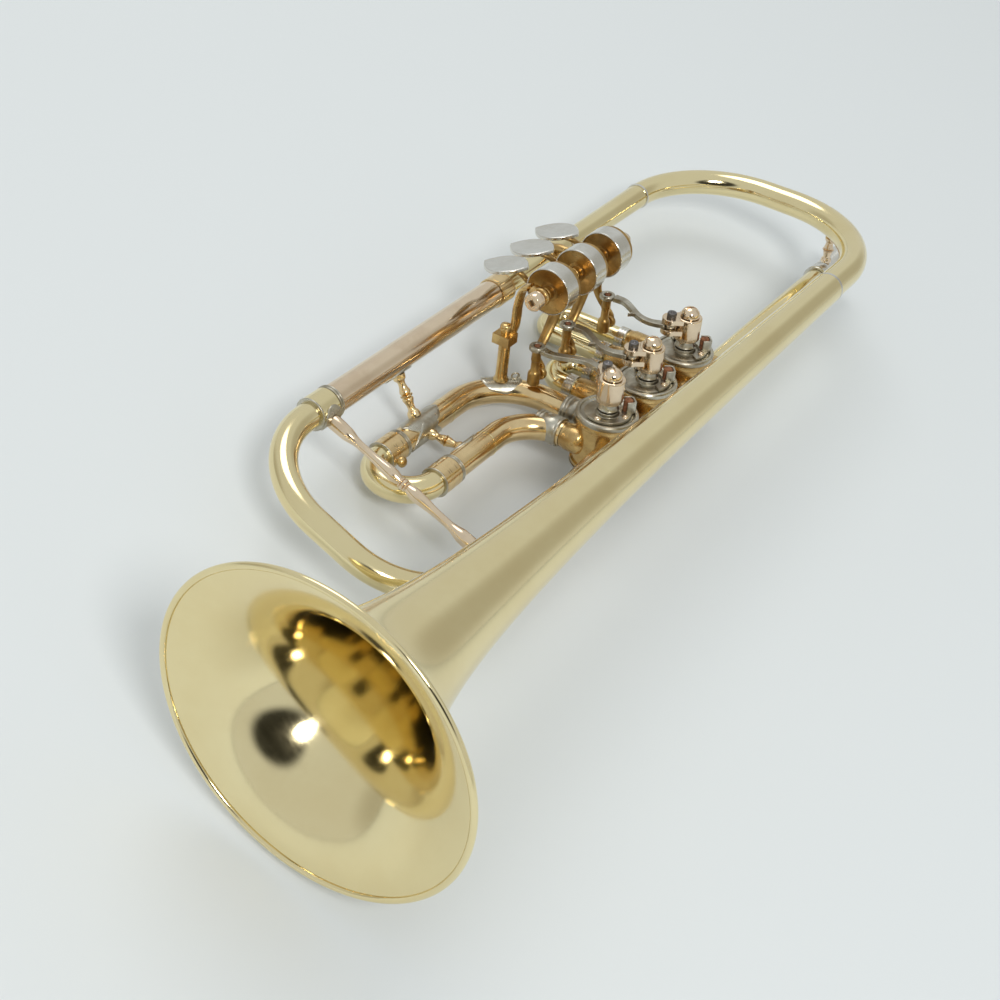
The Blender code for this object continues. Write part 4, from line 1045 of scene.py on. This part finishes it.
@dataclass
class Keys:
    """Three keys on one axle: spring barrel, touch plate, lower arm, post and link."""

    axle: Vector = Vector((253.0, 79.5, 22.0))
    axle_radius: float = 2.0
    axle_end: float = 334.0
    face_u: tuple[float, float, float] = (309.0, 287.5, 266.0)
    drum_from: tuple[float, float, float] = (2.8, 2.3, 0.0)
    drum_length: float = 8.8
    drum_back: float = 2.4
    hub_length: float = 15.0
    hub_radius: float = 3.2
    drum_radius: float = 10.3
    wall_radius: float = 11.0
    touch_reach: float = 26.3
    touch_rise: float = 0.9
    touch_set: float = 6.5
    touch_length: float = 23.5
    touch_width: float = 19.0
    touch_thickness: float = 1.7
    touch_tilt: float = 13.0
    arm_radius: float = 1.7
    post_u: tuple[float, float, float] = (318.5, 283.1, 257.3)
    post_v: float = 76.4
    post_low: float = -17.0
    post_radius: float = 2.3
    link_w: float = -1.1
    link_thickness: float = 2.3
    link_width: float = 3.5
    link_bulge: tuple[float, float, float] = (-5.0, -5.0, 4.0)
    eye_radius: float = 3.7
    crank_angle: tuple[float, float, float] = (135.0, 135.0, 46.0)
    crank_radius: float = 8.8
    rotor_u: tuple[float, float, float] = (322.0, 287.0, 252.0)
    rotor_v: float = 35.0
    arm_bow: tuple[float, float, float] = (6.0, 1.0, 1.0)
    bend_centre: Vector = Vector((232.0, 71.0, -28.0))
    bend_radius: float = 29.0
    tube_radius: float = 5.8
    front_foot_turn: float = 47.0
    rear_foot_turn: float = 40.0
    side_v: float = 117.0

    def build(self, shop: Shop) -> None:
        """Build the keys and the axle."""
        for number in (1, 2, 3):
            centre = Vector((self.face_u[number - 1], self.axle.y, self.axle.z))
            self.build_drum(shop, number, centre)
            self.build_touch(shop, number, centre)
            self.build_arms(shop, number, centre)
            self.build_post(shop, number)
            self.build_link(shop, number)
        self.build_axle(shop)

    def build_drum(self, shop: Shop, number: int, centre: Vector) -> None:
        """The spring drum: turned brass face and sleeve inside a nickel wall."""
        start = self.drum_from[number - 1]
        r, hole, sleeve = self.drum_radius, self.axle_radius + 0.2, self.hub_radius
        back = start + self.drum_length + GAP + self.drum_back
        face = [(hole, start - 3.0), (sleeve - 0.3, start - 3.0), (sleeve, start - 2.7),
                (sleeve, start + 0.5),
                (4.6, start + 0.8), (5.0, start + 0.6), (7.4, start + 0.62), (7.7, start + 0.45),
                (r - 0.5, start + 0.4), (r, start + 0.2)]
        rear = [(r, back - 0.6), (r - 0.6, back), (sleeve + 0.6, back), (sleeve, back + 0.5),
                (sleeve, self.hub_length), (hole, self.hub_length)]
        shop.piece(Form().spin(face + rear, centre, U, 96, closed=True), "drum_%d" % number, Finish.AMBER,
                   "key_%d" % number, ["lever_%d" % number], edge=0.1)
        length, outer = self.drum_length, self.wall_radius
        ring = [(r + 0.05, 0.3), (r + 0.2, -0.1), (outer - 0.25, -0.1), (outer, 0.15), (outer, length - 0.4),
                (outer - 0.4, length), (r + 0.05, length)]
        shop.piece(Form().spin(ring, centre + U * start, U, 96, closed=True), "drum_wall_%d" % number,
                   Finish.NICKEL, "key_%d" % number, ["drum_band_%d" % number], edge=0.08)

    def touch_slope(self) -> Vector:
        """Direction in which the touch plates run down and away from the axle."""
        tilt = math.radians(self.touch_tilt)
        return Vector((0, math.cos(tilt), -math.sin(tilt)))

    def build_touch(self, shop: Shop, number: int, centre: Vector) -> None:
        """The leaf-shaped touch plate."""
        half, width = self.touch_length / 2, self.touch_width / 2
        steps, point = 30, 0.93
        outline = []
        for i in range(steps):
            t = -1 + 2 * i / steps
            outline.append((t * half, width * (1 - abs(t) ** 2.3) ** point))
        corners = outline + [(-x, -y) for x, y in outline]
        at = centre + Vector((self.touch_set, self.touch_reach, self.touch_rise))
        form = Form().plate(corners, self.touch_thickness, at, self.touch_slope(), U, crown=0.3)
        shop.piece(form, "touch_plate_%d" % number, Finish.NICKEL, "key_%d" % number, ["touch_%d" % number],
                   edge=0.4, crease=30.0)

    def build_arms(self, shop: Shop, number: int, centre: Vector) -> None:
        """The arm to the touch plate and the arm down to the post's foot, both from the drum's back plate."""
        slope = self.touch_slope()
        under = slope.cross(U) * (self.touch_thickness / 2 + self.arm_radius * 0.75)
        touch = Vector((self.touch_set, self.touch_reach, self.touch_rise))
        root = self.drum_from[number - 1] + self.drum_length + 2 * GAP + self.arm_radius
        reach = [Vector((root, self.drum_radius - 3.0, -2.0)), Vector((root, self.drum_radius + 2.4, -4.0)),
                 Vector((root - 1.5, self.drum_radius + 5.4, -4.6)), touch - slope * 6.0 + under * 1.1,
                 touch + slope * 5.0 + under]
        form = Form().sweep([centre + p for p in smooth(reach, 6)], blend_radii(smooth(reach, 6), 2.0, 1.4),
                            24, flatten=0.75, flat_way=W)
        form.spin([(0.0, 0.0), (4.4, 0.0), (4.0, 1.3), (0.0, 1.6)], centre + touch + under * 0.6,
                  slope.cross(U), 28)
        post = Vector((self.post_u[number - 1] - centre.x, self.post_v - self.axle.y,
                       self.post_low - self.axle.z))
        beside = post + U * 5.8
        bow = self.arm_bow[number - 1]
        drop = [Vector((root, 0.0, -self.drum_radius + 2.0)),
                Vector((root, bow * 0.8, -self.drum_radius - 5.0)),
                Vector(((root + beside.x) / 2 + 1.0, bow, (beside.z - self.drum_radius) / 2)),
                Vector((beside.x + 0.6, bow * 0.4, beside.z + 8.0)), beside + Vector((1.2, 0.5, 2.5)), beside]
        fine = smooth(drop, 6)
        form.sweep([centre + p for p in fine], blend_radii(fine, 3.0, 1.7), 24, flatten=0.62, flat_way=U)
        form.spin([(0.0, -1.4), (2.7, -1.4), (3.0, -1.1), (3.0, 0.7), (2.7, 1.0), (0.0, 1.0)],
                  centre + beside, U, 32)
        shop.piece(form, "key_arms_%d" % number, Finish.AMBER, "key_%d" % number, edge=0.1, crease=50.0)

    def build_post(self, shop: Shop, number: int) -> None:
        """The upright post between the key's lower arm and the link's eye."""
        foot = Vector((self.post_u[number - 1], self.post_v, self.post_low))
        top = self.link_w - self.link_thickness / 2 - 0.2 - self.post_low
        r = self.post_radius
        outline = [(0.0, top), (r, top), (r, top - 0.6), (r - 0.2, top - 0.9), (r - 0.1, top - 5.0),
                   (r - 0.4, top - 5.4),
                   (r - 0.4, 4.4), (r, 3.8), (2.7, 3.2), (2.9, 2.6), (2.9, -2.6), (2.6, -3.0), (0.0, -3.0)]
        shop.piece(Form().spin(outline, foot, W, 40), "post_%d_turned" % number, Finish.AMBER,
                   "post_%d" % number, ["link_post_%d" % number], crease=35.0)
        pin = [(0.0, top + 2.6), (1.1, top + 2.6), (1.3, top + 2.4), (1.3, top - 0.3), (0.0, top - 0.3)]
        shop.piece(Form().spin(pin, foot, W, 28), "post_pin_%d" % number, Finish.CORK, "post_%d" % number,
                   crease=35.0)

    def build_link(self, shop: Shop, number: int) -> None:
        """The S-shaped link from the crank's pin to the post, with an eye at each end and a thorn."""
        i = number - 1
        turn = math.radians(self.crank_angle[i])
        pin = Vector((self.rotor_u[i] + self.crank_radius * math.cos(turn),
                      self.rotor_v + self.crank_radius * math.sin(turn), self.link_w))
        eye = Vector((self.post_u[i], self.post_v, self.link_w))
        bends = ((0.0, 0.0), (0.1, 0.55), (0.25, 1.0), (0.42, 0.9), (0.6, 0.2), (0.75, -0.3), (0.9, -0.2),
                 (1.0, 0.0))
        centres = smooth([pin.lerp(eye, along) + U * self.link_bulge[i] * side for along, side in bends], 6)
        inner = [p for p in centres if (p - pin).length > 2.4 and (p - eye).length > 3.0]
        sizes = [self.link_width / 2 * (1.2 - 0.35 * math.sin(math.pi * k / (len(inner) - 1)))
                 for k in range(len(inner))]
        left, right = [], []
        for k, at in enumerate(inner):
            along = inner[min(k + 1, len(inner) - 1)] - inner[max(k - 1, 0)]
            side = W.cross(along).normalized() * sizes[k]
            left.append(((at + side).x, (at + side).y))
            right.append(((at - side).x, (at - side).y))
        form = Form().plate(left + right[::-1], self.link_thickness - 0.2, Vector((0, 0, self.link_w)), U, V)
        half = self.link_thickness / 2
        for at, radius, hole in ((eye, self.eye_radius, 1.8), (pin, 2.6, 1.55)):
            form.spin([(hole, -half), (radius - 0.3, -half), (radius, -half + 0.4), (radius, half - 0.5),
                       (radius - 0.4, half), (hole + 0.3, half), (hole, half - 0.3)], at, W, 40, closed=True)
        if number != 3:
            k = len(inner) // 2
            along = (inner[k + 1] - inner[k - 1]).normalized()
            out = along.cross(W) * math.copysign(1.0, -self.link_bulge[i])
            at = inner[k] - out * 0.6
            thorn = [(-1.9, 0.0), (1.9, 0.0), (0.9, 1.4), (0.5, 3.6), (0.1, 3.5), (-0.3, 1.5)]
            form.plate(thorn, self.link_thickness - 0.4, at, along, -out)
        shop.piece(form, "link_%d_plate" % number, Finish.WORN_NICKEL, "link_%d" % number,
                   ["link_%d" % number], edge=0.25, crease=40.0)

    def build_axle(self, shop: Shop) -> None:
        """The common axle, its end nut with the square socket, and the two brackets."""
        at, r = self.axle, self.axle_radius
        length = self.axle_end - at.x
        outline = [(0.0, length), (2.6, length), (3.4, length - 0.8), (3.6, length - 2.8), (r, length - 3.0),
                   (r + 0.6, 6.2), (3.4, 6.0), (3.9, 4.6), (3.7, 4.2), (4.1, 3.8), (4.1, 0.5), (3.7, 0.0),
                   (0.0, 0.0)]
        form = Form().spin(outline, at, U, 48)
        nut = shop.piece(form, "axle_and_nut", Finish.ROSE, "frame", ["lever_axle"])
        socket = Form().block(at, Vector((4.4, 2.9, 2.9)), U, (V + W).normalized())
        cut_away(nut, socket, shop.axes)
        self.build_front_bracket(shop)
        self.build_rear_bracket(shop)

    def build_front_bracket(self, shop: Shop) -> None:
        """Hooked arm from the axle to a squared block, and the post from the block to the slide tube."""
        turn = math.radians(self.front_foot_turn)
        base = self.bend_centre + Vector((math.sin(turn), math.cos(turn), 0.0)) * self.bend_radius
        foot = base + W * (self.tube_radius + GAP)
        u = self.axle.x + 7.2
        form = Form().spin([(self.axle_radius + 0.3, -1.2), (4.1, -1.2), (4.4, -0.9), (4.4, 0.9), (4.1, 1.2),
                            (self.axle_radius + 0.3, 1.2)], Vector((u, self.axle.y, self.axle.z)), U, 48,
                           closed=True)
        hook = [Vector((u, 81.6, 24.0)), Vector((u, 85.0, 24.8)), Vector((u, 88.6, 22.0)),
                Vector((u, 90.2, 14.0)),
                Vector((u, 90.4, 6.6)), Vector((u - 0.6, 90.6, 2.6)), Vector((u - 2.6, 90.8, 1.0)),
                Vector((foot.x - 1.0, foot.y, 0.9))]
        fine = smooth(hook, 6)
        form.sweep(fine, blend_radii(fine, 3.4, 3.8), 24, flatten=0.42, flat_way=V)
        form.block(Vector((foot.x - 0.6, foot.y, 0.2)), Vector((7.6, 8.6, 4.8)))
        form.spin([(0.0, 7.6), (1.2, 7.5), (2.2, 7.0), (2.6, 6.2), (2.6, 4.6), (2.0, 4.2), (2.0, 2.0)],
                  Vector((foot.x - 0.6, foot.y, 0.0)), W, 28)
        column = [(0.0, 22.0), (2.7, 22.0), (2.7, 6.0), (2.8, 2.0), (3.3, 0.8), (3.6, 0.2), (0.0, 0.0)]
        form.spin(column, foot, W, 36)
        shop.piece(form, "front_bracket", Finish.OLD_BRASS, "frame", ["axle_bracket_front"], edge=0.25,
                   crease=45.0)

        tangent = Vector((math.cos(turn), -math.sin(turn), 0.0))
        shield = [(-8.0, 0.0), (-6.0, 4.4), (-1.5, 6.2), (3.0, 6.6), (7.4, 3.2), (8.4, 0.0), (7.4, -4.2),
                  (3.2, -7.4), (-1.0, -10.4), (-4.4, -7.0), (-7.2, -3.6)]
        fine = smooth([Vector((x, y, 0.0)) for x, y in shield + shield[:1]], 4)[:-1]
        flange = Form().wrap([(p.x * 1.15, p.y * 1.1) for p in fine], base, tangent, W, self.tube_radius,
                             0.55)
        curl = [base + tangent * 6.4 + W * 7.6
                + (tangent * math.cos(t) + W * math.sin(t)) * (1.9 - t * 0.12) for t in [0.5 * k
                                                                                         for k in range(14)]]
        flange.sweep(curl, 0.42, 12)
        shop.piece(flange, "bracket_shield", Finish.WORN_NICKEL, "frame", crease=50.0)

    def build_rear_bracket(self, shop: Shop) -> None:
        """Ring, curved arm and saddle of the rear bracket."""
        u = self.axle_end - 5.4
        turn = math.radians(self.rear_foot_turn)
        up = Vector((0.0, -math.sin(turn), math.cos(turn)))
        foot = Vector((u, self.side_v, 0.0)) + up * 5.9
        form = Form().spin([(self.axle_radius + 0.3, -1.2), (4.1, -1.2), (4.4, -0.9), (4.4, 0.9), (4.1, 1.2),
                            (self.axle_radius + 0.3, 1.2)], Vector((u, self.axle.y, self.axle.z)), U, 48,
                           closed=True)
        arm = [Vector((u, 82.9, 21.0)), Vector((u, 88.0, 14.0)), Vector((u, 102.25, 8.0)), foot + up * 3.0,
               foot]
        form.sweep(smooth(arm, 6), blend_radii(smooth(arm, 6), 1.6, 2.6), 24)
        form.spin([(0.0, 1.6), (3.4, 1.6), (4.0, 1.1), (4.2, 0.0), (0.0, 0.0)], foot, up, 32)
        shop.piece(form, "rear_bracket", Finish.OLD_BRASS, "frame", ["axle_bracket_rear"], crease=45.0)


@dataclass
class ThirdSlide:
    """The third valve's slide, its bent outer tubes and their braces."""

    rotor_u: float = 252.0
    w: float = -28.0
    left_v: float = 100.0
    right_v: float = 72.0
    left_bend: float = 29.0
    right_bend: float = 22.0
    bow_u: float = 175.0
    outer_u: float = 187.0
    brace_u: float = 204.0
    start_v: float = 49.8
    radius: float = 5.8
    leg_radius: float = 4.9
    wall: float = 0.6
    side_v: float = 117.0
    side_radius: float = 6.5

    def build(self, shop: Shop) -> None:
        """Build the slide and what holds it."""
        self.build_outer_tubes(shop)
        self.build_slide(shop)
        self.build_braces(shop)

    def build_outer_tubes(self, shop: Shop) -> None:
        """Bent outer tubes with nickel ferrules at the valve and rings at the slide."""
        nickel, brass = Form(), Form()
        for side, v, bend, port, name in ((1, self.left_v, self.left_bend, 9.0, "left"),
                                          (-1, self.right_v, self.right_bend, -9.0, "right")):
            u = self.rotor_u + port
            corner = Vector((u - bend, v - bend, self.w))
            start = Vector((u, self.start_v, self.w))
            path = [start, *arc(corner, U, V, bend, 24), Vector((self.outer_u, v, self.w))]
            shop.piece(Form().sweep(path, self.radius, 40, self.wall), "third_tube_" + name, Finish.GOLD,
                       "frame", ["third_outer_" + name], crease=60.0)
            long = 12.5 if side < 0 else 9.0
            sleeve = grooves(self.radius + 0.9, long, (1.6, long - 3.2, long - 1.6))
            nickel.spin(sleeve + [(self.radius, long), (self.radius, 0.0)], start + V * 1.4, V, 48,
                        closed=True)
            nickel.spin([*bead_ring(self.radius, 0.9, 1.15, 2), (self.radius - 0.3, 2.3),
                         (self.radius - 0.3, 0.0)],
                        Vector((self.outer_u + 0.1, v, self.w)), U, 48, closed=True)
            line = Vector((222.0 if side > 0 else 213.0, v, self.w))
            brass.spin([(self.radius - 0.2, 0.0), (self.radius + 0.18, 0.1), (self.radius + 0.18, 0.7),
                        (self.radius - 0.2, 0.8)], line, U, 48, closed=True)
        middle = Vector((self.brace_u, self.left_v, self.w))
        nickel.wrap(superellipse(12.5, 10.5, 1.25), middle, U, W + V * 0.1, self.radius, 0.6)
        nickel.wrap(superellipse(11.0, 9.5, 1.25), middle - U * 2.0, U, -V - W * 0.5, self.radius, 0.6)
        nickel.wrap(superellipse(9.0, 5.4, 1.3), Vector((self.brace_u, self.right_v, self.w)), U, V + W * 0.4,
                    self.radius, 0.55)
        down = (middle - Vector((middle.x, self.side_v, 0.0))).normalized()
        nickel.wrap(superellipse(9.5, 5.0, 1.4), Vector((middle.x, self.side_v, 0.0)), U, down,
                    self.side_radius, 0.55)
        shop.piece(nickel, "third_tube_fittings", Finish.WORN_NICKEL, "frame", crease=50.0)
        shop.piece(brass, "third_tube_lines", Finish.BRASS, "frame", crease=50.0)

    def build_slide(self, shop: Shop) -> None:
        """The bow with its legs and lined ferrules, and the small knob to pull it by."""
        body = "third_valve_slide"
        left, right = Vector((self.bow_u, self.left_v, self.w)), Vector((self.bow_u, self.right_v, self.w))
        middle, radius = (left + right) / 2, (left - right).length / 2
        bow = arc(middle, V, -U, radius, 20) + arc(middle, -U, -V, radius, 20)[1:]
        path = [left + U * 47.0, left + U * 4.2, left + U * 4.0, *bow, right + U * 4.0, right + U * 4.2,
                right + U * 42.0]
        radii = [self.leg_radius] * 2 + [self.radius] * (len(path) - 4) + [self.leg_radius] * 2
        shop.piece(Form().sweep(path, radii, 40, self.wall), "third_bow", Finish.BRASS, body, ["third_slide"],
                   crease=50.0)
        nickel = Form()
        for name, at in (("left", left), ("right", right)):
            outline = grooves(self.radius + 1.0, 11.0, (3.6, 4.8, 8.6))
            outline += [(self.radius + 0.1, 11.0), (self.radius + 0.1, 0.0)]
            shop.piece(Form().spin(outline, at + U * 0.7, U, 48, closed=True), "third_ferrule_sleeve_" + name,
                       Finish.GOLD, body, ["third_ferrule_" + name])
            nickel.spin([(self.radius, 0.1), *bead_ring(self.radius + 0.75, 0.42, 0.8), (self.radius, 0.7)],
                        at + U * 0.1, U, 48, closed=True)
        shop.piece(nickel, "third_ferrule_rings", Finish.WORN_NICKEL, body, crease=50.0)
        knob = [(0.0, 6.0), (1.2, 5.9), (2.1, 5.2), (2.5, 4.2), (2.1, 3.2), (1.3, 2.6), (1.1, 1.4),
                (1.7, 0.4), (1.8, -0.6)]
        at = left + U * 2.0 - V * (self.radius + 0.2)
        shop.piece(Form().spin(smooth_profile(knob, 3), at, (-V + W * 0.35).normalized(), 28), "slide_knob",
                   Finish.OLD_BRASS, body, crease=50.0)

    def build_braces(self, shop: Shop) -> None:
        """The short turned braces between the legs and up to the tuning slide's tube."""
        gap = self.left_v - self.right_v - 2 * (self.radius + GAP)
        at = Vector((self.brace_u, self.left_v - self.radius - GAP, self.w))
        shop.piece(Form().spin(turned_brace(gap, 2.6, 0.55, 1.05), at, -V, 36), "leg_brace", Finish.GOLD,
                   "frame", ["third_leg_brace"], crease=40.0)
        top, low = Vector((self.brace_u, self.side_v, 0)), Vector((self.brace_u, self.left_v, self.w))
        down = (low - top).normalized()
        length = (low - top).length - self.side_radius - self.radius - 2 * GAP
        shop.piece(Form().spin(turned_brace(length, 3.0, 0.5, 1.0), top + down * (self.side_radius + GAP),
                               down, 36),
                   "slide_brace", Finish.GOLD, "frame", ["third_brace"], crease=40.0)


@dataclass
class ShortSlide:
    """The first or second valve's slide: a tight bow whose legs run in the casing's tubes."""

    number: int
    node: str
    body: str
    u: float
    bow_v: float
    collar_v: float
    inner_v: float = 52.0
    w: float = -28.0
    offset: float = 9.0
    radius: float = 4.9
    wall: float = 0.6

    def build(self, shop: Shop) -> None:
        """Build the bow and its collars."""
        middle = Vector((self.u, self.bow_v, self.w))
        bow = arc(middle, U, V, self.offset, 20) + arc(middle, V, -U, self.offset, 20)[1:]
        path = [Vector((self.u + self.offset, self.inner_v, self.w)), *bow,
                Vector((self.u - self.offset, self.inner_v, self.w))]
        shop.piece(Form().sweep(path, self.radius, 36, self.wall), self.node + "_bow", Finish.BRASS,
                   self.body, [self.node], crease=60.0)
        collars = Form()
        for side in (-1, 1):
            at = Vector((self.u + side * self.offset, self.collar_v + 0.8, self.w))
            outline = grooves(self.radius + 1.1, 4.4, (1.4, 2.8)) + [(self.radius, 4.4), (self.radius, 0.0)]
            collars.spin(outline, at, V, 40, closed=True)
        shop.piece(collars, self.node + "_collars", Finish.NICKEL, self.body)


@dataclass(frozen=True)
class Studio:
    """Floor, world, lights and camera.

    Attributes:
        floor_size: Half size of the floor in metres.
        eye: Camera's place in the instrument's axes, in millimetres.
        right: Camera's right.
        down: Camera's down.
        ahead: Direction that it looks in.
        lens: Focal length for a 36 mm sensor.
    """

    floor_size: float = 6.0
    eye: Vector = Vector((-344.15, -253.82, 412.22))
    right: Vector = Vector((0.54901, -0.83034, 0.09553))
    down: Vector = Vector((-0.45005, -0.38999, -0.80334))
    ahead: Vector = Vector((0.70430, 0.39805, -0.58780))
    lens: float = 64.97

    def build(self, axes: Axes) -> None:
        """Set up the studio round the instrument."""
        self.build_camera(axes)
        self.build_floor()
        self.build_world(axes)
        self.build_lights(axes)
        bpy.context.scene.view_settings.view_transform = 'Standard'

    def build_camera(self, axes: Axes) -> None:
        """Place the camera."""
        data = bpy.data.cameras.new("camera")
        data.lens = self.lens
        data.sensor_width = 36.0
        data.clip_start = 0.01
        camera = bpy.data.objects.new("camera", data)
        columns = (axes.direction(self.right), -axes.direction(self.down), -axes.direction(self.ahead))
        camera.matrix_world = Matrix.Translation(axes.point(self.eye)) @ Matrix(columns).transposed().to_4x4()
        bpy.context.scene.collection.objects.link(camera)
        bpy.context.scene.camera = camera

    def build_floor(self) -> None:
        """A pale sheet with the faint unevenness of stretched cloth."""
        mesh = bpy.data.meshes.new("floor")
        maker = bmesh.new()
        bmesh.ops.create_grid(maker, x_segments=2, y_segments=2, size=self.floor_size)
        maker.to_mesh(mesh)
        maker.free()
        floor = bpy.data.objects.new("floor", mesh)
        bpy.context.scene.collection.objects.link(floor)
        material = bpy.data.materials.new("pale_sheet")
        material.use_nodes = True
        nodes, links = material.node_tree.nodes, material.node_tree.links
        shader = nodes["Principled BSDF"]
        shader.inputs["Base Color"].default_value = (0.745, 0.775, 0.775, 1.0)
        shader.inputs["Roughness"].default_value = 0.75
        place, waves, bump = (nodes.new("ShaderNode" + kind) for kind in ("TexCoord", "TexNoise", "Bump"))
        waves.inputs["Scale"].default_value = 3.0
        waves.inputs["Detail"].default_value = 1.5
        bump.inputs["Strength"].default_value = 0.25
        bump.inputs["Distance"].default_value = 0.03
        links.new(place.outputs["Object"], waves.inputs["Vector"])
        links.new(waves.outputs["Fac"], bump.inputs["Height"])
        links.new(bump.outputs["Normal"], shader.inputs["Normal"])
        mesh.materials.append(material)

    def build_world(self, axes: Axes) -> None:
        """Pale surroundings with a dark room beyond them on the bell's side."""
        world = bpy.data.worlds.new("studio")
        bpy.context.scene.world = world
        world.use_nodes = True
        nodes, links = world.node_tree.nodes, world.node_tree.links
        background = nodes["Background"]
        place = nodes.new("ShaderNodeTexCoord")
        last = None
        pale, dark, dim = (0.80, 0.83, 0.84), (0.03, 0.03, 0.025), (0.58, 0.58, 0.54)
        patches = ((Vector((-0.66, -0.62, 0.42)).normalized(), 0.88, 0.945, dark),
                   (Vector((-0.30, 0.93, 0.20)).normalized(), 0.85, 0.99, dim),
                   (Vector((0.86, -0.42, 0.30)).normalized(), 0.88, 0.995, dim))
        for way, start, full, shade in patches:
            dot = nodes.new("ShaderNodeVectorMath")
            dot.operation = 'DOT_PRODUCT'
            dot.inputs[1].default_value = axes.direction(way)
            links.new(place.outputs["Generated"], dot.inputs[0])
            ramp = nodes.new("ShaderNodeMapRange")
            ramp.interpolation_type = 'SMOOTHSTEP'
            ramp.inputs["From Min"].default_value = start
            ramp.inputs["From Max"].default_value = full
            links.new(dot.outputs["Value"], ramp.inputs["Value"])
            mix = nodes.new("ShaderNodeMix")
            mix.data_type = 'RGBA'
            links.new(ramp.outputs["Result"], mix.inputs["Factor"])
            if last:
                links.new(last, mix.inputs[6])
            else:
                mix.inputs[6].default_value = (*pale, 1.0)
            mix.inputs[7].default_value = (*shade, 1.0)
            last = mix.outputs[2]
        links.new(last, background.inputs["Color"])
        background.inputs["Strength"].default_value = 0.79

    def build_lights(self, axes: Axes) -> None:
        """A soft key from the bell's side and a small bright one beside it."""
        target = axes.point(Vector((240.0, 60.0, 0.0)))
        for name, way, distance, size, power in (("key", Vector((-0.50, -0.60, 0.62)), 2.0, 0.5, 14.0),
                                                 ("top", Vector((0.2, 0.3, 0.93)), 2.2, 1.4, 10.0)):
            data = bpy.data.lights.new(name, 'AREA')
            data.shape = 'DISK'
            data.size = size
            data.energy = power
            lamp = bpy.data.objects.new(name, data)
            direction = axes.direction(way)
            lamp.location = target + direction * distance
            lamp.rotation_mode = 'QUATERNION'
            lamp.rotation_quaternion = direction.to_track_quat('Z', 'Y')
            bpy.context.scene.collection.objects.link(lamp)


def main() -> None:
    """Build the studio and every sub-assembly, in order."""
    logging.basicConfig(level=logging.INFO, format="%(name)s: %(message)s")
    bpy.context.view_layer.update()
    axes = Axes.from_joints(frame["joints"])
    Studio().build(axes)
    shop = Shop(axes)
    assemblies = [Bell(), BodyTubes(), TuningSlide(), ValveBlock(), Keys(), ThirdSlide(),
                  ShortSlide(2, "second_slide", "second_valve_slide", 287.0, 72.0, 64.5),
                  ShortSlide(1, "first_slide", "first_valve_slide", 322.0, 98.0, 68.0)]
    for assembly in assemblies:
        assembly.build(shop)
    bpy.context.view_layer.update()


if __name__ == "__main__":
    main()
